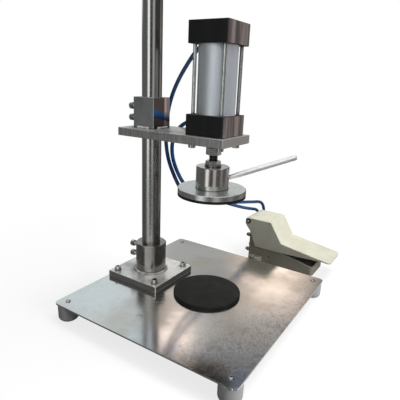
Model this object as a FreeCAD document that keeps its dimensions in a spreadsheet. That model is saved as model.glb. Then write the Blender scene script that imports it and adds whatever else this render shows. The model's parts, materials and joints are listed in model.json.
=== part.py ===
import FreeCAD, Part
import math
import os
import re
import Sketcher
from FreeCAD import Placement, Rotation, Vector

# Lug capping machine: an air cylinder on a column presses a turning head onto a jar's lid,
# worked by a foot valve. Millimetres, +Z up, the operator stands at -Y.
# The origin is the centre of the jar pad's top face, on the axis of the press.
SIZES = [
    # base plate, feet and pad
    ("plate_width", 400),
    ("plate_depth", 380),
    ("plate_thickness", 3),
    ("plate_corner", 9),
    ("plate_behind_column", 65),
    ("reach", 142),
    ("pad_radius", 65.5),
    ("pad_thickness", 6),
    ("foot_inset", 18),
    ("foot_radius", 18.8),
    ("foot_height", 32),
    ("foot_rounding", 8),
    ("insert_radius", 6),
    ("insert_length", 12),
    # column, its flange and socket
    ("column_radius", 19),
    ("column_length", 600),
    ("flange_width", 125),
    ("flange_thickness", 12),
    ("flange_screw_offset", 49),
    ("socket_radius", 31.5),
    ("socket_height", 61),
    ("socket_screw_low", 23),
    ("socket_screw_high", 45),
    ("weld_leg", 4.5),
    ("bead_length", 30),
    # screws and nuts, by their thread radius
    ("thread_eight", 4),
    ("head_eight", 6.5),
    ("head_eight_height", 8),
    ("hex_eight", 6),
    ("nut_rim", 0.1),
    ("nut_eight_width", 13),
    ("nut_eight_height", 6.5),
    ("thread_five", 2.5),
    ("head_five", 4.8),
    ("head_five_height", 2.7),
    ("hex_five", 3),
    ("screw_clearance", 0.5),
    ("screw_gap", 2),
    ("thread_spare", 1.5),
    # chamfers and rounded corners
    ("sharp_edge", 0.8),
    ("turned_edge", 1.5),
    ("overrun", 1),
    # arm plate and clamp block
    ("arm_height", 311),
    ("arm_width", 98),
    ("arm_thickness", 15),
    ("arm_in_front", 45),
    ("arm_behind", 43),
    ("block_width", 50),
    ("block_height", 57),
    ("arm_corner", 1.5),
    ("arm_edge", 0.7),
    ("block_corner", 2),
    ("block_screw_low", 16),
    ("block_screw_high", 38),
    ("clamp_screw_reach", 46),
    ("slide_clearance", 0.05),
    # air cylinder
    ("cap_width", 75),
    ("cap_height", 35),
    ("cap_corner", 2.5),
    ("cap_edge", 0.6),
    ("tube_radius", 33.6),
    ("bore_radius", 31.5),
    ("tube_length", 113),
    ("tube_seat", 5),
    ("gasket_thickness", 1),
    ("tie_rod_radius", 3.2),
    ("tie_rod_pitch", 56.5),
    ("tie_rod_grip", 18),
    ("tie_nut_radius", 6),
    ("tie_nut_height", 9),
    ("tie_nut_recess", 11),
    ("port_radius", 7.5),
    ("port_depth", 14),
    ("cushion_radius", 14),
    ("cushion_depth", 14),
    ("chamber_depth", 22),
    ("nose_radius", 20),
    ("cap_screw_gap", 3),
    # piston and rod
    ("piston_length", 30),
    ("piston_gap", 4),
    ("piston_clearance", 0.1),
    ("seal_depth", 4),
    ("seal_width", 4),
    ("rod_radius", 10),
    ("rod_tail_radius", 6),
    ("bush_radius", 14),
    ("bush_length", 16),
    ("wiper_radius", 15),
    ("wiper_length", 5),
    ("piston_nut_width", 19),
    ("piston_nut_height", 8),
    # press head
    ("rod_thread_radius", 8),
    ("thread_lead", 1),
    ("rod_end", 2),
    ("rod_nut_width", 24),
    ("jam_nut_height", 13),
    ("spindle_nut_height", 8),
    ("washer_radius", 15),
    ("washer_thickness", 2),
    ("nut_gap", 10.5),
    ("head_clearance", 0.3),
    ("hub_radius", 30),
    ("hub_height", 40),
    ("hub_web", 10),
    ("hub_edge", 1),
    ("bearing_outer", 20),
    ("bearing_bore", 8.5),
    ("bearing_width", 12),
    ("ball_radius", 3.4),
    ("ball_clearance", 0.04),
    ("circlip_width", 2),
    ("circlip_seat", 1.5),
    ("sleeve_collar", 3),
    ("lock_nut_height", 8),
    ("press_radius", 62.5),
    ("press_thickness", 10),
    ("rubber_thickness", 4),
    ("press_screw_radius", 25),
    ("head_drop", 41),
    # turning handle
    ("handle_radius", 5),
    ("handle_root", 4),
    ("handle_length", 131),
    ("handle_neck", 18),
    ("handle_thread", 7),
    ("handle_rise", 17.6),
    ("handle_heading", -50),
    ("handle_height", 19),
    # foot valve
    ("pedal_gap", 66),
    ("pedal_width", 84),
    ("pivot_height", 102),
    ("pivot_setback", 45),
    ("pin_radius", 3),
    ("pin_end", 4.5),
    ("clip_radius", 6),
    ("clip_thickness", 1.2),
    ("tread_wall", 4),
    ("skirt_wall", 2.5),
    ("tread_clearance", 1),
    ("ear_radius", 9),
    ("hump_length", 60),
    ("step_setback", 91),
    ("step_drop", 39),
    ("tread_length", 212),
    ("toe_drop", 57),
    ("skirt_drop", 63),
    ("hump_wall", 3),
    ("toe_lip", 18),
    ("skirt_heel", 23),
    ("cheek_setback", 7),
    ("cheek_drop", 28),
    ("hump_rounding", 4),
    ("step_rounding", 6),
    ("toe_corner", 10),
    ("side_rounding", 2.4),
    ("tray_wall", 3),
    ("tray_floor", 4),
    ("tray_front", 173),
    ("tray_front_height", 21),
    ("tray_rear", 5),
    ("tray_shoulder", 58),
    ("tray_cheek", 25),
    ("tray_ear", 4.8),
    ("tray_corner", 8),
    ("rear_wall_drop", 25),
    ("lug_setback", 25),
    ("lug_radius", 16),
    ("lug_height", 14),
    ("lug_hole_radius", 3.5),
    # valve inside the pedal
    ("valve_width", 44),
    ("valve_depth", 45),
    ("valve_height", 62),
    ("valve_corner", 2),
    ("spool_setback", 37),
    ("spool_radius", 6),
    ("spool_bore_depth", 58),
    ("spool_length", 49),
    ("spool_sink", 2),
    ("seal_groove", 1.5),
    ("spool_stem", 3.5),
    ("spool_cap_radius", 9),
    ("spool_cap_height", 3.5),
    ("spring_wire", 0.8),
    ("spring_radius", 6.4),
    ("spring_turns", 4),
    ("spring_length", 15),
    ("pusher_radius", 6),
    ("pusher_width", 16),
    ("pusher_length", 23),
    ("valve_port_radius", 4.4),
    ("valve_port_depth", 10),
    ("valve_port_offset", 9),
    ("port_bottom", 9),
    ("port_low", 17),
    ("port_supply", 29),
    ("port_high", 41),
    ("port_top", 49),
    # hoses and their fittings
    ("hose_radius", 4),
    ("cap_fitting_hex", 19),
    ("cap_fitting_body", 6.5),
    ("cap_fitting_turn", 14.5),
    ("cap_fitting_arm", 24),
    ("valve_fitting_hex", 12),
    ("valve_fitting_body", 5.5),
    ("valve_fitting_turn", 16),
    ("valve_fitting_arm", 17),
    ("silencer_radius", 5),
    ("silencer_length", 22),
]
VALUES = dict(SIZES)

# Levels and places that follow from the sizes.
PLATE_TOP = "(-pad_thickness)"
PLATE_BOTTOM = "(-pad_thickness - plate_thickness)"
FLOOR = "(-pad_thickness - plate_thickness - foot_height)"
FLANGE_TOP = "(flange_thickness - pad_thickness)"
ARM_TOP = "(arm_height - pad_thickness)"
ARM_BOTTOM = "(arm_height - pad_thickness - arm_thickness)"
TUBE_BOTTOM = "(arm_height - pad_thickness + cap_height)"
TUBE_TOP = "(arm_height - pad_thickness + cap_height + tube_length)"
CYLINDER_TOP = "(arm_height - pad_thickness + 2 * cap_height + tube_length)"
PISTON_TOP = "(arm_height - pad_thickness + cap_height + tube_length - piston_gap)"
HUB_BOTTOM = "(arm_height - pad_thickness - arm_thickness - head_drop - hub_height)"
BEARING_TOP = "(arm_height - pad_thickness - arm_thickness - head_drop - hub_web)"
WASHER_BOTTOM = "(arm_height - pad_thickness - arm_thickness - head_drop + head_clearance)"
SPINDLE_NUT_TOP = f"({WASHER_BOTTOM} + washer_thickness + spindle_nut_height)"
JAM_NUT_BOTTOM = f"({SPINDLE_NUT_TOP} + nut_gap)"
THREAD_TOP = f"({JAM_NUT_BOTTOM} + jam_nut_height + thread_lead)"
BALLS = 8
BALL_CIRCLE = "((bearing_outer + bearing_bore) / 2)"
PLATE_FRONT = "(reach + plate_behind_column - plate_depth)"
PLATE_BACK = "(reach + plate_behind_column)"
PEDAL_X = "(plate_width / 2 + pedal_gap + pedal_width / 2)"
PEDAL_Y = "pivot_setback"
PEDAL_Z = "(pivot_height - pad_thickness - plate_thickness - foot_height)"
TRAY_WIDTH = "(pedal_width - 2 * skirt_wall - 2 * tread_clearance)"
VALVE_FRONT = "(-tray_rear - tray_wall - valve_depth)"
VALVE_BASE = "(tray_floor - pivot_height)"
VALVE_TOP = "(tray_floor - pivot_height + valve_height)"
SPOOL_CAP_BOTTOM = f"({VALVE_TOP} + spring_length)"

doc = FreeCAD.newDocument("lug_capping_machine")
sheet = doc.addObject("Spreadsheet::Sheet", "Sizes")
for line, (alias, size) in enumerate(SIZES, start=1):
    sheet.set(f"A{line}", alias)
    sheet.set(f"B{line}", str(size))
    sheet.setAlias(f"B{line}", alias)
doc.recompute()

# How far apart two lengths may be and still count as one.
SAME = 0.01
CLOSE = 0.05

# Turns: the head of a screw to the back, and upside down.
TOWARDS_BACK = Rotation(Vector(1, 0, 0), -90)
UPSIDE_DOWN = Rotation(Vector(1, 0, 0), 180)

nodes = {}


def formula(text):
    """The formula with each size written as a cell of the sheet."""
    return re.sub(r"[a-z]\w+", lambda word: f"Sizes.{word[0]}" if word[0] in VALUES else word[0], str(text))


def number(text):
    """The formula's value now."""
    plain = re.sub(r"[a-z]\w+", lambda word: str(VALUES.get(word[0], word[0])), str(text))
    return FreeCAD.Units.parseQuantity(plain).Value


def place(thing, x=0, y=0, z=0, turn=None):
    """Puts an object where three formulas say, turned first where a rotation is given."""
    if turn is not None:
        thing.Placement = Placement(Vector(), turn)
    for letter, text in (("x", x), ("y", y), ("z", z)):
        thing.setExpression(f"Placement.Base.{letter}", formula(text))
    return thing


def node(thing, name):
    """Counts an object as a piece of the machine, under its node's name."""
    thing.Label = name
    nodes[name] = thing
    return thing


def new_body(name):
    return doc.addObject("PartDesign::Body", name)


def new_sketch(body, role, height=0):
    """An empty sketch on one of the body's own planes, at a height above it."""
    sketch = body.newObject("Sketcher::SketchObject", f"{body.Name}_sketch")
    support = next(plane for plane in body.Origin.OriginFeatures if plane.Role == role)
    sketch.AttachmentSupport = [(support, "")]
    sketch.MapMode = "FlatFace"
    sketch.setExpression("AttachmentOffset.Base.z", formula(height))
    return sketch


def hold(sketch, wanted):
    """Adds dimensions from the sketch's origin: (kind, geometry, point, formula)."""
    first = sketch.ConstraintCount
    rules = []
    for kind, shape, point, text in wanted:
        if kind == "Radius":
            rules.append(Sketcher.Constraint(kind, shape, number(text)))
        else:
            rules.append(Sketcher.Constraint(kind, -1, 1, shape, point, number(text)))
    sketch.addConstraint(rules)
    for index, (kind, shape, point, text) in enumerate(wanted, start=first):
        sketch.setExpression(f"Constraints[{index}]", formula(text))


def outline(body, role, points, height=0):
    """A closed outline through points given as pairs of formulas."""
    sketch = new_sketch(body, role, height)
    corners = [Vector(number(x), number(y), 0) for x, y in points]
    count = len(corners)
    sides = [Part.LineSegment(corners[i], corners[(i + 1) % count]) for i in range(count)]
    sketch.addGeometry(sides, False)
    ends = [Sketcher.Constraint("Coincident", i, 2, (i + 1) % count, 1) for i in range(count)]
    sketch.addConstraint(ends)
    wanted = []
    for index, (x, y) in enumerate(points):
        wanted += [("DistanceX", index, 1, x), ("DistanceY", index, 1, y)]
    hold(sketch, wanted)
    return sketch


def circles(body, role, items, height=0):
    """A sketch of circles, each given as x, y and radius."""
    sketch = new_sketch(body, role, height)
    rings = [Part.Circle(Vector(number(x), number(y), 0), Vector(0, 0, 1), number(r)) for x, y, r in items]
    sketch.addGeometry(rings, False)
    wanted = []
    for index, (x, y, r) in enumerate(items):
        wanted += [("DistanceX", index, 3, x), ("DistanceY", index, 3, y), ("Radius", index, 0, r)]
    hold(sketch, wanted)
    return sketch


def box_points(half_x, half_y):
    """The corners of a rectangle centred on the sketch's origin."""
    return [
        (f"-({half_x})", f"-({half_y})"),
        (half_x, f"-({half_y})"),
        (half_x, half_y),
        (f"-({half_x})", half_y),
    ]


def hexagon(width):
    """The corners of a hexagon of a given width across its flats."""
    tip = f"({width} / sqrt(3))"
    return [
        (tip, "0"),
        (f"{tip} / 2", f"{width} / 2"),
        (f"-{tip} / 2", f"{width} / 2"),
        (f"-{tip}", "0"),
        (f"-{tip} / 2", f"-{width} / 2"),
        (f"{tip} / 2", f"-{width} / 2"),
    ]


def pad(body, sketch, length, middle=False, reverse=False):
    feature = body.newObject("PartDesign::Pad", f"{body.Name}_pad")
    feature.Profile = sketch
    feature.setExpression("Length", formula(length))
    feature.Midplane = middle
    feature.Reversed = reverse
    return feature


def pocket(body, sketch, length, middle=False, reverse=False):
    feature = body.newObject("PartDesign::Pocket", f"{body.Name}_pocket")
    feature.Profile = sketch
    feature.setExpression("Length", formula(length))
    feature.Midplane = middle
    feature.Reversed = reverse
    return feature


def turned(body, points, angle=360, cut=False):
    """Revolves an outline of radius and height about the body's Z axis."""
    sketch = outline(body, "XZ_Plane", points)
    kind = "Groove" if cut else "Revolution"
    feature = body.newObject(f"PartDesign::{kind}", f"{body.Name}_turned")
    feature.Profile = sketch
    feature.ReferenceAxis = (sketch, ["V_Axis"])
    feature.Angle = angle
    return feature


def tube_points(inner, outer, bottom, top):
    return [(inner, bottom), (outer, bottom), (outer, top), (inner, top)]


def soften(body, test, size, kind="Fillet"):
    """Rounds or chamfers the edges of the body so far that pass a test."""
    doc.recompute()
    base = body.Tip
    edges = enumerate(base.Shape.Edges, start=1)
    names = [f"Edge{index}" for index, edge in edges if test(edge, middle_of(edge))]
    feature = body.newObject(f"PartDesign::{kind}", f"{body.Name}_{kind.lower()}")
    feature.Base = (base, names)
    feature.setExpression("Radius" if kind == "Fillet" else "Size", formula(size))
    return feature


def middle_of(edge):
    start, end = edge.ParameterRange
    return edge.valueAt((start + end) / 2)


def near(value, text):
    return abs(value - number(text)) < CLOSE


def upright(edge, point):
    """True for a straight edge along Z."""
    return edge.BoundBox.XLength < SAME and edge.BoundBox.YLength < SAME


def level(edge, point):
    """True for an edge that stays at one height."""
    return edge.BoundBox.ZLength < SAME


def lengthwise(edge, point):
    """True for an edge that stays at one place along X."""
    return edge.BoundBox.XLength < SAME


def rim(height):
    """A test for the outer edges at one height."""
    return lambda edge, point: near(point.z, height) and level(edge, point)


def ring_edge(radius, height):
    """A test for a turned edge of one radius at one height."""
    return lambda edge, point: near(point.z, height) and near(math.hypot(point.x, point.y), radius)


def copies(name, source, spots):
    """One node of equal solids, each at (x, y, z) with an optional rotation."""
    links = []
    for index, spot in enumerate(spots, start=1):
        link = doc.addObject("App::Link", f"{name}_{index}")
        link.LinkedObject = source
        link.LinkTransform = False
        place(link, *spot)
        links.append(link)
    group = doc.addObject("Part::Compound", name)
    group.Links = links
    return node(group, name)


def socket_screw(name, shank):
    """A socket head cap screw, its origin under the head, its head towards +Z."""
    body = new_body(name)
    turned(body, [
        ("0", "head_eight_height"),
        ("head_eight", "head_eight_height"),
        ("head_eight", "0"),
        ("thread_eight", "0"),
        ("thread_eight", f"-({shank})"),
        ("0", f"-({shank})"),
    ])
    soften(body, ring_edge("head_eight", "head_eight_height"), "head_eight_height / 8", "Chamfer")
    key = outline(body, "XY_Plane", hexagon("hex_eight"), "head_eight_height")
    pocket(body, key, "head_eight_height / 2")
    return body


def button_screw(name, shank):
    """A button head screw, its origin under the head."""
    body = new_body(name)
    turned(body, [
        ("0", "head_five_height"),
        ("head_five * 0.55", "head_five_height"),
        ("head_five * 0.85", "head_five_height * 0.65"),
        ("head_five", "0"),
        ("thread_five", "0"),
        ("thread_five", f"-({shank})"),
        ("0", f"-({shank})"),
    ])
    key = outline(body, "XY_Plane", hexagon("hex_five"), "head_five_height")
    pocket(body, key, "head_five_height * 0.6")
    return body


def sunk_screw(name, shank):
    """A countersunk screw, its origin in the middle of its head's top face."""
    body = new_body(name)
    turned(body, [
        ("0", "0"),
        ("thread_five * 2", "0"),
        ("thread_five", "-thread_five"),
        ("thread_five", f"-({shank})"),
        ("0", f"-({shank})"),
    ])
    pocket(body, outline(body, "XY_Plane", hexagon("hex_five")), "thread_five * 0.8")
    return body


def nut(name, width, height, hole):
    """A hexagon nut standing on its origin, its upper corners turned off."""
    body = new_body(name)
    pad(body, outline(body, "XY_Plane", hexagon(width)), height)
    pocket(body, circles(body, "XY_Plane", [("0", "0", hole)]), height, reverse=True)
    corner = f"({width} / sqrt(3) + nut_rim)"
    turned(body, [
        (f"{width} / 2 * 0.98", height),
        (corner, height),
        (corner, f"{height} - {width} * 0.045"),
    ], cut=True)
    return body


def elbow(name, hexagon_width, radius, turn, arm, thread):
    """A push-in elbow: screwed in along its own +Z, its hose leaves along +X at the height of the turn."""
    body = new_body(name)
    pad(body, outline(body, "XY_Plane", hexagon(hexagon_width)), f"{turn} * 0.4")
    pad(body, circles(body, "XY_Plane", [("0", "0", thread)]), f"{turn} * 0.5", reverse=True)
    upright_arm = circles(body, "XY_Plane", [("0", "0", radius)], f"{turn} * 0.4")
    pad(body, upright_arm, f"{turn} * 0.6 + {radius}")
    soften(body, ring_edge(radius, f"{turn} + {radius}"), f"{radius} * 0.5")
    pad(body, circles(body, "YZ_Plane", [("0", turn, f"{radius} * 0.95")]), f"{arm} * 0.86")
    collar = circles(body, "YZ_Plane", [("0", turn, f"{radius} * 0.8")], f"{arm} * 0.86")
    pad(body, collar, f"{arm} * 0.14")
    return body


# Base plate on four feet

def build_base():
    plate = new_body("base_plate")
    corners = [
        ("-plate_width / 2", PLATE_FRONT),
        ("plate_width / 2", PLATE_FRONT),
        ("plate_width / 2", PLATE_BACK),
        ("-plate_width / 2", PLATE_BACK),
    ]
    pad(plate, outline(plate, "XY_Plane", corners), "plate_thickness")
    soften(plate, upright, "plate_corner")
    left = "(-plate_width / 2 + foot_inset)"
    right = "(plate_width / 2 - foot_inset)"
    front = f"({PLATE_FRONT} + foot_inset)"
    back = f"({PLATE_BACK} - foot_inset)"
    spots = {
        "foot_front_left": (left, front),
        "foot_front_right": (right, front),
        "foot_rear_left": (left, back),
        "foot_rear_right": (right, back),
    }
    holes = [(x, y, "thread_five + screw_clearance / 2") for x, y in spots.values()]
    holes += [(x, y, "thread_eight + screw_clearance") for x, y in flange_holes()]
    pocket(plate, circles(plate, "XY_Plane", holes), "plate_thickness", reverse=True)
    place(node(plate, "base_plate"), z=PLATE_BOTTOM)

    for name, (x, y) in spots.items():
        foot = new_body(name)
        turned(foot, [
            ("insert_radius", "foot_height"),
            ("foot_radius", "foot_height"),
            ("foot_radius * 0.98", "0"),
            ("0", "0"),
            ("0", "foot_height - insert_length"),
            ("insert_radius", "foot_height - insert_length"),
        ])
        soften(foot, ring_edge("foot_radius * 0.98", "0"), "foot_rounding")
        place(node(foot, name), x, y, FLOOR)

    insert = new_body("foot_insert")
    turned(insert, tube_points("thread_five", "insert_radius", "-insert_length", "0"))
    copies("foot_inserts", insert, [(x, y, PLATE_BOTTOM) for x, y in spots.values()])
    screw = button_screw("foot_screw", "plate_thickness + insert_length - screw_gap")
    copies("foot_screws", screw, [(x, y, PLATE_TOP) for x, y in spots.values()])

    jar_pad = new_body("jar_pad")
    turned(jar_pad, tube_points("0", "pad_radius", "0", "pad_thickness"))
    soften(jar_pad, ring_edge("pad_radius", "pad_thickness"), "pad_thickness / 4")
    place(node(jar_pad, "jar_pad"), z=PLATE_TOP)


def flange_holes():
    """Centres of the four screws round the column."""
    return [
        (f"{side} * flange_screw_offset", f"reach + {end} * flange_screw_offset")
        for side in (-1, 1)
        for end in (-1, 1)
    ]


# Column in its flange and socket

def build_column():
    flange = new_body("flange_plate")
    square = outline(flange, "XY_Plane", box_points("flange_width / 2", "flange_width / 2"))
    pad(flange, square, "flange_thickness")
    soften(flange, lambda edge, point: upright(edge, point) or near(point.z, "flange_thickness"),
           "sharp_edge", "Chamfer")
    holes = [("0", "0", "column_radius + slide_clearance")]
    holes += [
        (f"{side} * flange_screw_offset", f"{end} * flange_screw_offset", "thread_eight + screw_clearance")
        for side in (-1, 1)
        for end in (-1, 1)
    ]
    pocket(flange, circles(flange, "XY_Plane", holes), "flange_thickness", reverse=True)
    place(node(flange, "flange_plate"), 0, "reach", PLATE_TOP)

    socket = new_body("column_socket")
    turned(socket, tube_points("column_radius + slide_clearance", "socket_radius", "0", "socket_height"))
    soften(socket, ring_edge("socket_radius", "socket_height"), "turned_edge", "Chamfer")
    screws = [("0", "socket_screw_low", "thread_eight"), ("0", "socket_screw_high", "thread_eight")]
    pocket(socket, circles(socket, "XZ_Plane", screws), "socket_radius + overrun")
    place(node(socket, "column_socket"), 0, "reach", FLANGE_TOP)

    bead = new_body("socket_weld")
    turned(bead, [
        ("socket_radius", "0"),
        ("socket_radius + weld_leg", "0"),
        ("socket_radius + weld_leg * 0.6", "weld_leg * 0.6"),
        ("socket_radius", "weld_leg"),
    ])
    place(node(bead, "socket_weld"), 0, "reach", FLANGE_TOP)

    column = new_body("column")
    turned(column, tube_points("0", "column_radius", "0", "column_length"))
    soften(column, ring_edge("column_radius", "column_length"), "turned_edge", "Chamfer")
    place(node(column, "column"), 0, "reach", PLATE_TOP)

    through = "flange_thickness + plate_thickness + nut_eight_height + thread_spare"
    screw = socket_screw("flange_screw", through)
    copies("flange_screws", screw, [(x, y, FLANGE_TOP) for x, y in flange_holes()])
    flange_nut = nut("flange_nut", "nut_eight_width", "nut_eight_height", "thread_eight")
    spots = [(x, y, f"{PLATE_BOTTOM} - nut_eight_height") for x, y in flange_holes()]
    copies("flange_nuts", flange_nut, spots)

    # the screws come in from the back and bear on the column
    screw = socket_screw("clamping_screw", "clamp_screw_reach - column_radius - slide_clearance")
    spots = [
        ("0", "reach + clamp_screw_reach", f"{FLANGE_TOP} + {height}", TOWARDS_BACK)
        for height in ("socket_screw_low", "socket_screw_high")
    ]
    copies("socket_screws", screw, spots)
    spots = [
        ("0", "reach + clamp_screw_reach", f"{ARM_TOP} + {height}", TOWARDS_BACK)
        for height in ("block_screw_low", "block_screw_high")
    ]
    copies("block_screws", screw, spots)


# Arm plate welded to the block that clamps on the column

def build_arm():
    arm = new_body("arm_plate")
    corners = [
        ("-arm_width / 2", "-arm_in_front"),
        ("arm_width / 2", "-arm_in_front"),
        ("arm_width / 2", "reach + arm_behind"),
        ("-arm_width / 2", "reach + arm_behind"),
    ]
    pad(arm, outline(arm, "XY_Plane", corners), "arm_thickness")
    soften(arm, upright, "arm_corner", "Chamfer")
    soften(arm, level, "arm_edge", "Chamfer")
    holes = [
        ("0", "reach", "column_radius + screw_clearance"),
        ("0", "0", "nose_radius + screw_clearance / 2"),
    ]
    holes += [(x, y, "thread_eight + screw_clearance") for x, y in tie_rod_centres()]
    pocket(arm, circles(arm, "XY_Plane", holes), "arm_thickness", reverse=True)
    place(node(arm, "arm_plate"), z=ARM_BOTTOM)

    block = new_body("clamp_block")
    pad(block, outline(block, "XY_Plane", box_points("block_width / 2", "block_width / 2")), "block_height")
    soften(block, upright, "block_corner")
    soften(block, rim("block_height"), "sharp_edge", "Chamfer")
    bore = circles(block, "XY_Plane", [("0", "0", "column_radius + slide_clearance")])
    pocket(block, bore, "block_height", reverse=True)
    screws = [("0", "block_screw_low", "thread_eight"), ("0", "block_screw_high", "thread_eight")]
    pocket(block, circles(block, "XZ_Plane", screws), "block_width / 2 + overrun")
    place(node(block, "clamp_block"), 0, "reach", ARM_TOP)

    # a quarter round bead along the foot of the three sides that the cylinder doesn't hide
    bead = new_body("block_bead")
    sketch = outline(bead, "XZ_Plane", [
        ("0", "-bead_length / 2"),
        ("weld_leg * 0.7", "-bead_length * 0.47"),
        ("weld_leg", "-bead_length * 0.3"),
        ("weld_leg", "bead_length * 0.3"),
        ("weld_leg * 0.7", "bead_length * 0.47"),
        ("0", "bead_length / 2"),
    ])
    feature = bead.newObject("PartDesign::Revolution", "block_bead_turned")
    feature.Profile = sketch
    feature.ReferenceAxis = (sketch, ["V_Axis"])
    feature.Angle = 90
    lying = Rotation(Vector(0, 0, 1), Vector(0, -1, 0), Vector(1, 0, 0), "XYZ")
    side = "block_width / 2"
    copies("block_welds", bead, [
        ("0", f"reach - {side}", ARM_TOP, lying),
        (f"-{side}", "reach", ARM_TOP, Rotation(Vector(0, 0, 1), -90).multiply(lying)),
        (side, "reach", ARM_TOP, Rotation(Vector(0, 0, 1), 90).multiply(lying)),
    ])


def tie_rod_centres():
    return [
        (f"{side} * tie_rod_pitch / 2", f"{end} * tie_rod_pitch / 2")
        for side in (-1, 1)
        for end in (-1, 1)
    ]


# Air cylinder: two square caps, a tube and four tie rods

def cylinder_cap(name):
    cap = new_body(name)
    pad(cap, outline(cap, "XY_Plane", box_points("cap_width / 2", "cap_width / 2")), "cap_height")
    soften(cap, upright, "cap_corner")
    soften(cap, level, "cap_edge", "Chamfer")
    return cap


def build_cylinder():
    front = cylinder_cap("front_cap")
    pad(front, circles(front, "XY_Plane", [("0", "0", "nose_radius")]), "arm_thickness", reverse=True)
    turned(front, [
        ("0", "cap_height"),
        ("tube_radius", "cap_height"),
        ("tube_radius", "cap_height - tube_seat - gasket_thickness"),
        ("bore_radius - 2", "cap_height - tube_seat - gasket_thickness"),
        ("bore_radius - 2", "cap_height - tube_seat"),
        ("cushion_radius + 2", "cap_height - tube_seat"),
        ("cushion_radius + 2", "cap_height - chamber_depth"),
        ("bush_radius", "cap_height - chamber_depth"),
        ("bush_radius", "cap_height - chamber_depth - bush_length"),
        ("rod_radius + 1", "cap_height - chamber_depth - bush_length"),
        ("rod_radius + 1", "wiper_length - arm_thickness"),
        ("wiper_radius", "wiper_length - arm_thickness"),
        ("wiper_radius", "-arm_thickness"),
        ("0", "-arm_thickness"),
    ], cut=True)
    top_holes = [(x, y, "tie_rod_radius") for x, y in tie_rod_centres()]
    pocket(front, circles(front, "XY_Plane", top_holes, "cap_height"), "tie_rod_grip")
    low_holes = [(x, y, "thread_eight") for x, y in tie_rod_centres()]
    pocket(front, circles(front, "XY_Plane", low_holes), "cap_height - tie_rod_grip", reverse=True)
    bore_port(front)
    place(node(front, "front_cap"), z=ARM_TOP)

    rear = cylinder_cap("rear_cap")
    turned(rear, [
        ("0", "0"),
        ("tube_radius", "0"),
        ("tube_radius", "tube_seat + gasket_thickness"),
        ("bore_radius - 2", "tube_seat + gasket_thickness"),
        ("bore_radius - 2", "tube_seat"),
        ("cushion_radius", "tube_seat"),
        ("cushion_radius", "tube_seat + cushion_depth"),
        ("0", "tube_seat + cushion_depth"),
    ], cut=True)
    rods = [(x, y, "tie_rod_radius") for x, y in tie_rod_centres()]
    pocket(rear, circles(rear, "XY_Plane", rods), "cap_height", reverse=True)
    recesses = [(x, y, "tie_nut_radius + screw_clearance") for x, y in tie_rod_centres()]
    pocket(rear, circles(rear, "XY_Plane", recesses, "cap_height"), "tie_nut_recess")
    bore_port(rear)
    place(node(rear, "rear_cap"), z=TUBE_TOP)

    tube = new_body("cylinder_tube")
    turned(tube, tube_points("bore_radius", "tube_radius", "-tube_seat", "tube_length + tube_seat"))
    place(node(tube, "cylinder_tube"), z=TUBE_BOTTOM)
    gasket = new_body("tube_gasket")
    turned(gasket, tube_points("bore_radius - 2", "tube_radius", "0", "gasket_thickness"))
    low = ("0", "0", f"{TUBE_BOTTOM} - tube_seat - gasket_thickness")
    high = ("0", "0", f"{TUBE_TOP} + tube_seat")
    copies("tube_gaskets", gasket, [low, high])

    rod = new_body("tie_rod")
    length = "tie_rod_grip + tube_length + cap_height - tie_nut_recess + tie_nut_height * 0.6"
    turned(rod, tube_points("0", "tie_rod_radius", "0", length))
    spots = [(x, y, f"{TUBE_BOTTOM} - tie_rod_grip") for x, y in tie_rod_centres()]
    copies("tie_rods", rod, spots)
    rod_nut = new_body("tie_nut")
    turned(rod_nut, tube_points("tie_rod_radius", "tie_nut_radius", "0", "tie_nut_height"))
    ring = outline(rod_nut, "XY_Plane", hexagon("tie_nut_radius * 1.4"), "tie_nut_height")
    pocket(rod_nut, ring, "tie_nut_height / 3")
    spots = [(x, y, f"{CYLINDER_TOP} - tie_nut_recess") for x, y in tie_rod_centres()]
    copies("tie_rod_nuts", rod_nut, spots)

    screw = socket_screw("cylinder_screw", "arm_thickness + cap_height - tie_rod_grip - cap_screw_gap")
    spots = [(x, y, ARM_BOTTOM, UPSIDE_DOWN) for x, y in tie_rod_centres()]
    copies("cylinder_screws", screw, spots)

    bush = new_body("rod_bush")
    turned(bush, tube_points("rod_radius + slide_clearance", "bush_radius", "0", "bush_length"))
    place(node(bush, "rod_bush"), z=f"{TUBE_BOTTOM} - chamber_depth - bush_length")
    wiper = new_body("rod_wiper")
    turned(wiper, [
        ("rod_radius + slide_clearance", "0"),
        ("rod_radius + 1.5", "-1.5"),
        ("wiper_radius - 2", "-1"),
        ("wiper_radius", "0"),
        ("wiper_radius", "wiper_length"),
        ("rod_radius + 1", "wiper_length"),
        ("rod_radius + slide_clearance", "wiper_length - 2"),
    ])
    place(node(wiper, "rod_wiper"), z=ARM_BOTTOM)

    fitting = elbow("cap_fitting", "cap_fitting_hex", "cap_fitting_body", "cap_fitting_turn",
                    "cap_fitting_arm", "port_radius")
    # screwed in from +X, with the hose leaving towards the column
    facing = Rotation(Vector(1, 1, 1), 120)
    spots = [("cap_width / 2", "0", f"{level} + cap_height / 2", facing) for level in (ARM_TOP, TUBE_TOP)]
    copies("cylinder_fittings", fitting, spots)


def bore_port(cap):
    """The air port from the cap's +X side into its cushion chamber."""
    outer = circles(cap, "YZ_Plane", [("0", "cap_height / 2", "port_radius")], "cap_width / 2 - port_depth")
    pocket(cap, outer, "port_depth", reverse=True)
    inner = circles(cap, "YZ_Plane", [("0", "cap_height / 2", "port_radius / 3")])
    pocket(cap, inner, "cap_width / 2 - port_depth", reverse=True)


# Piston and rod, which the air drives down

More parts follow.
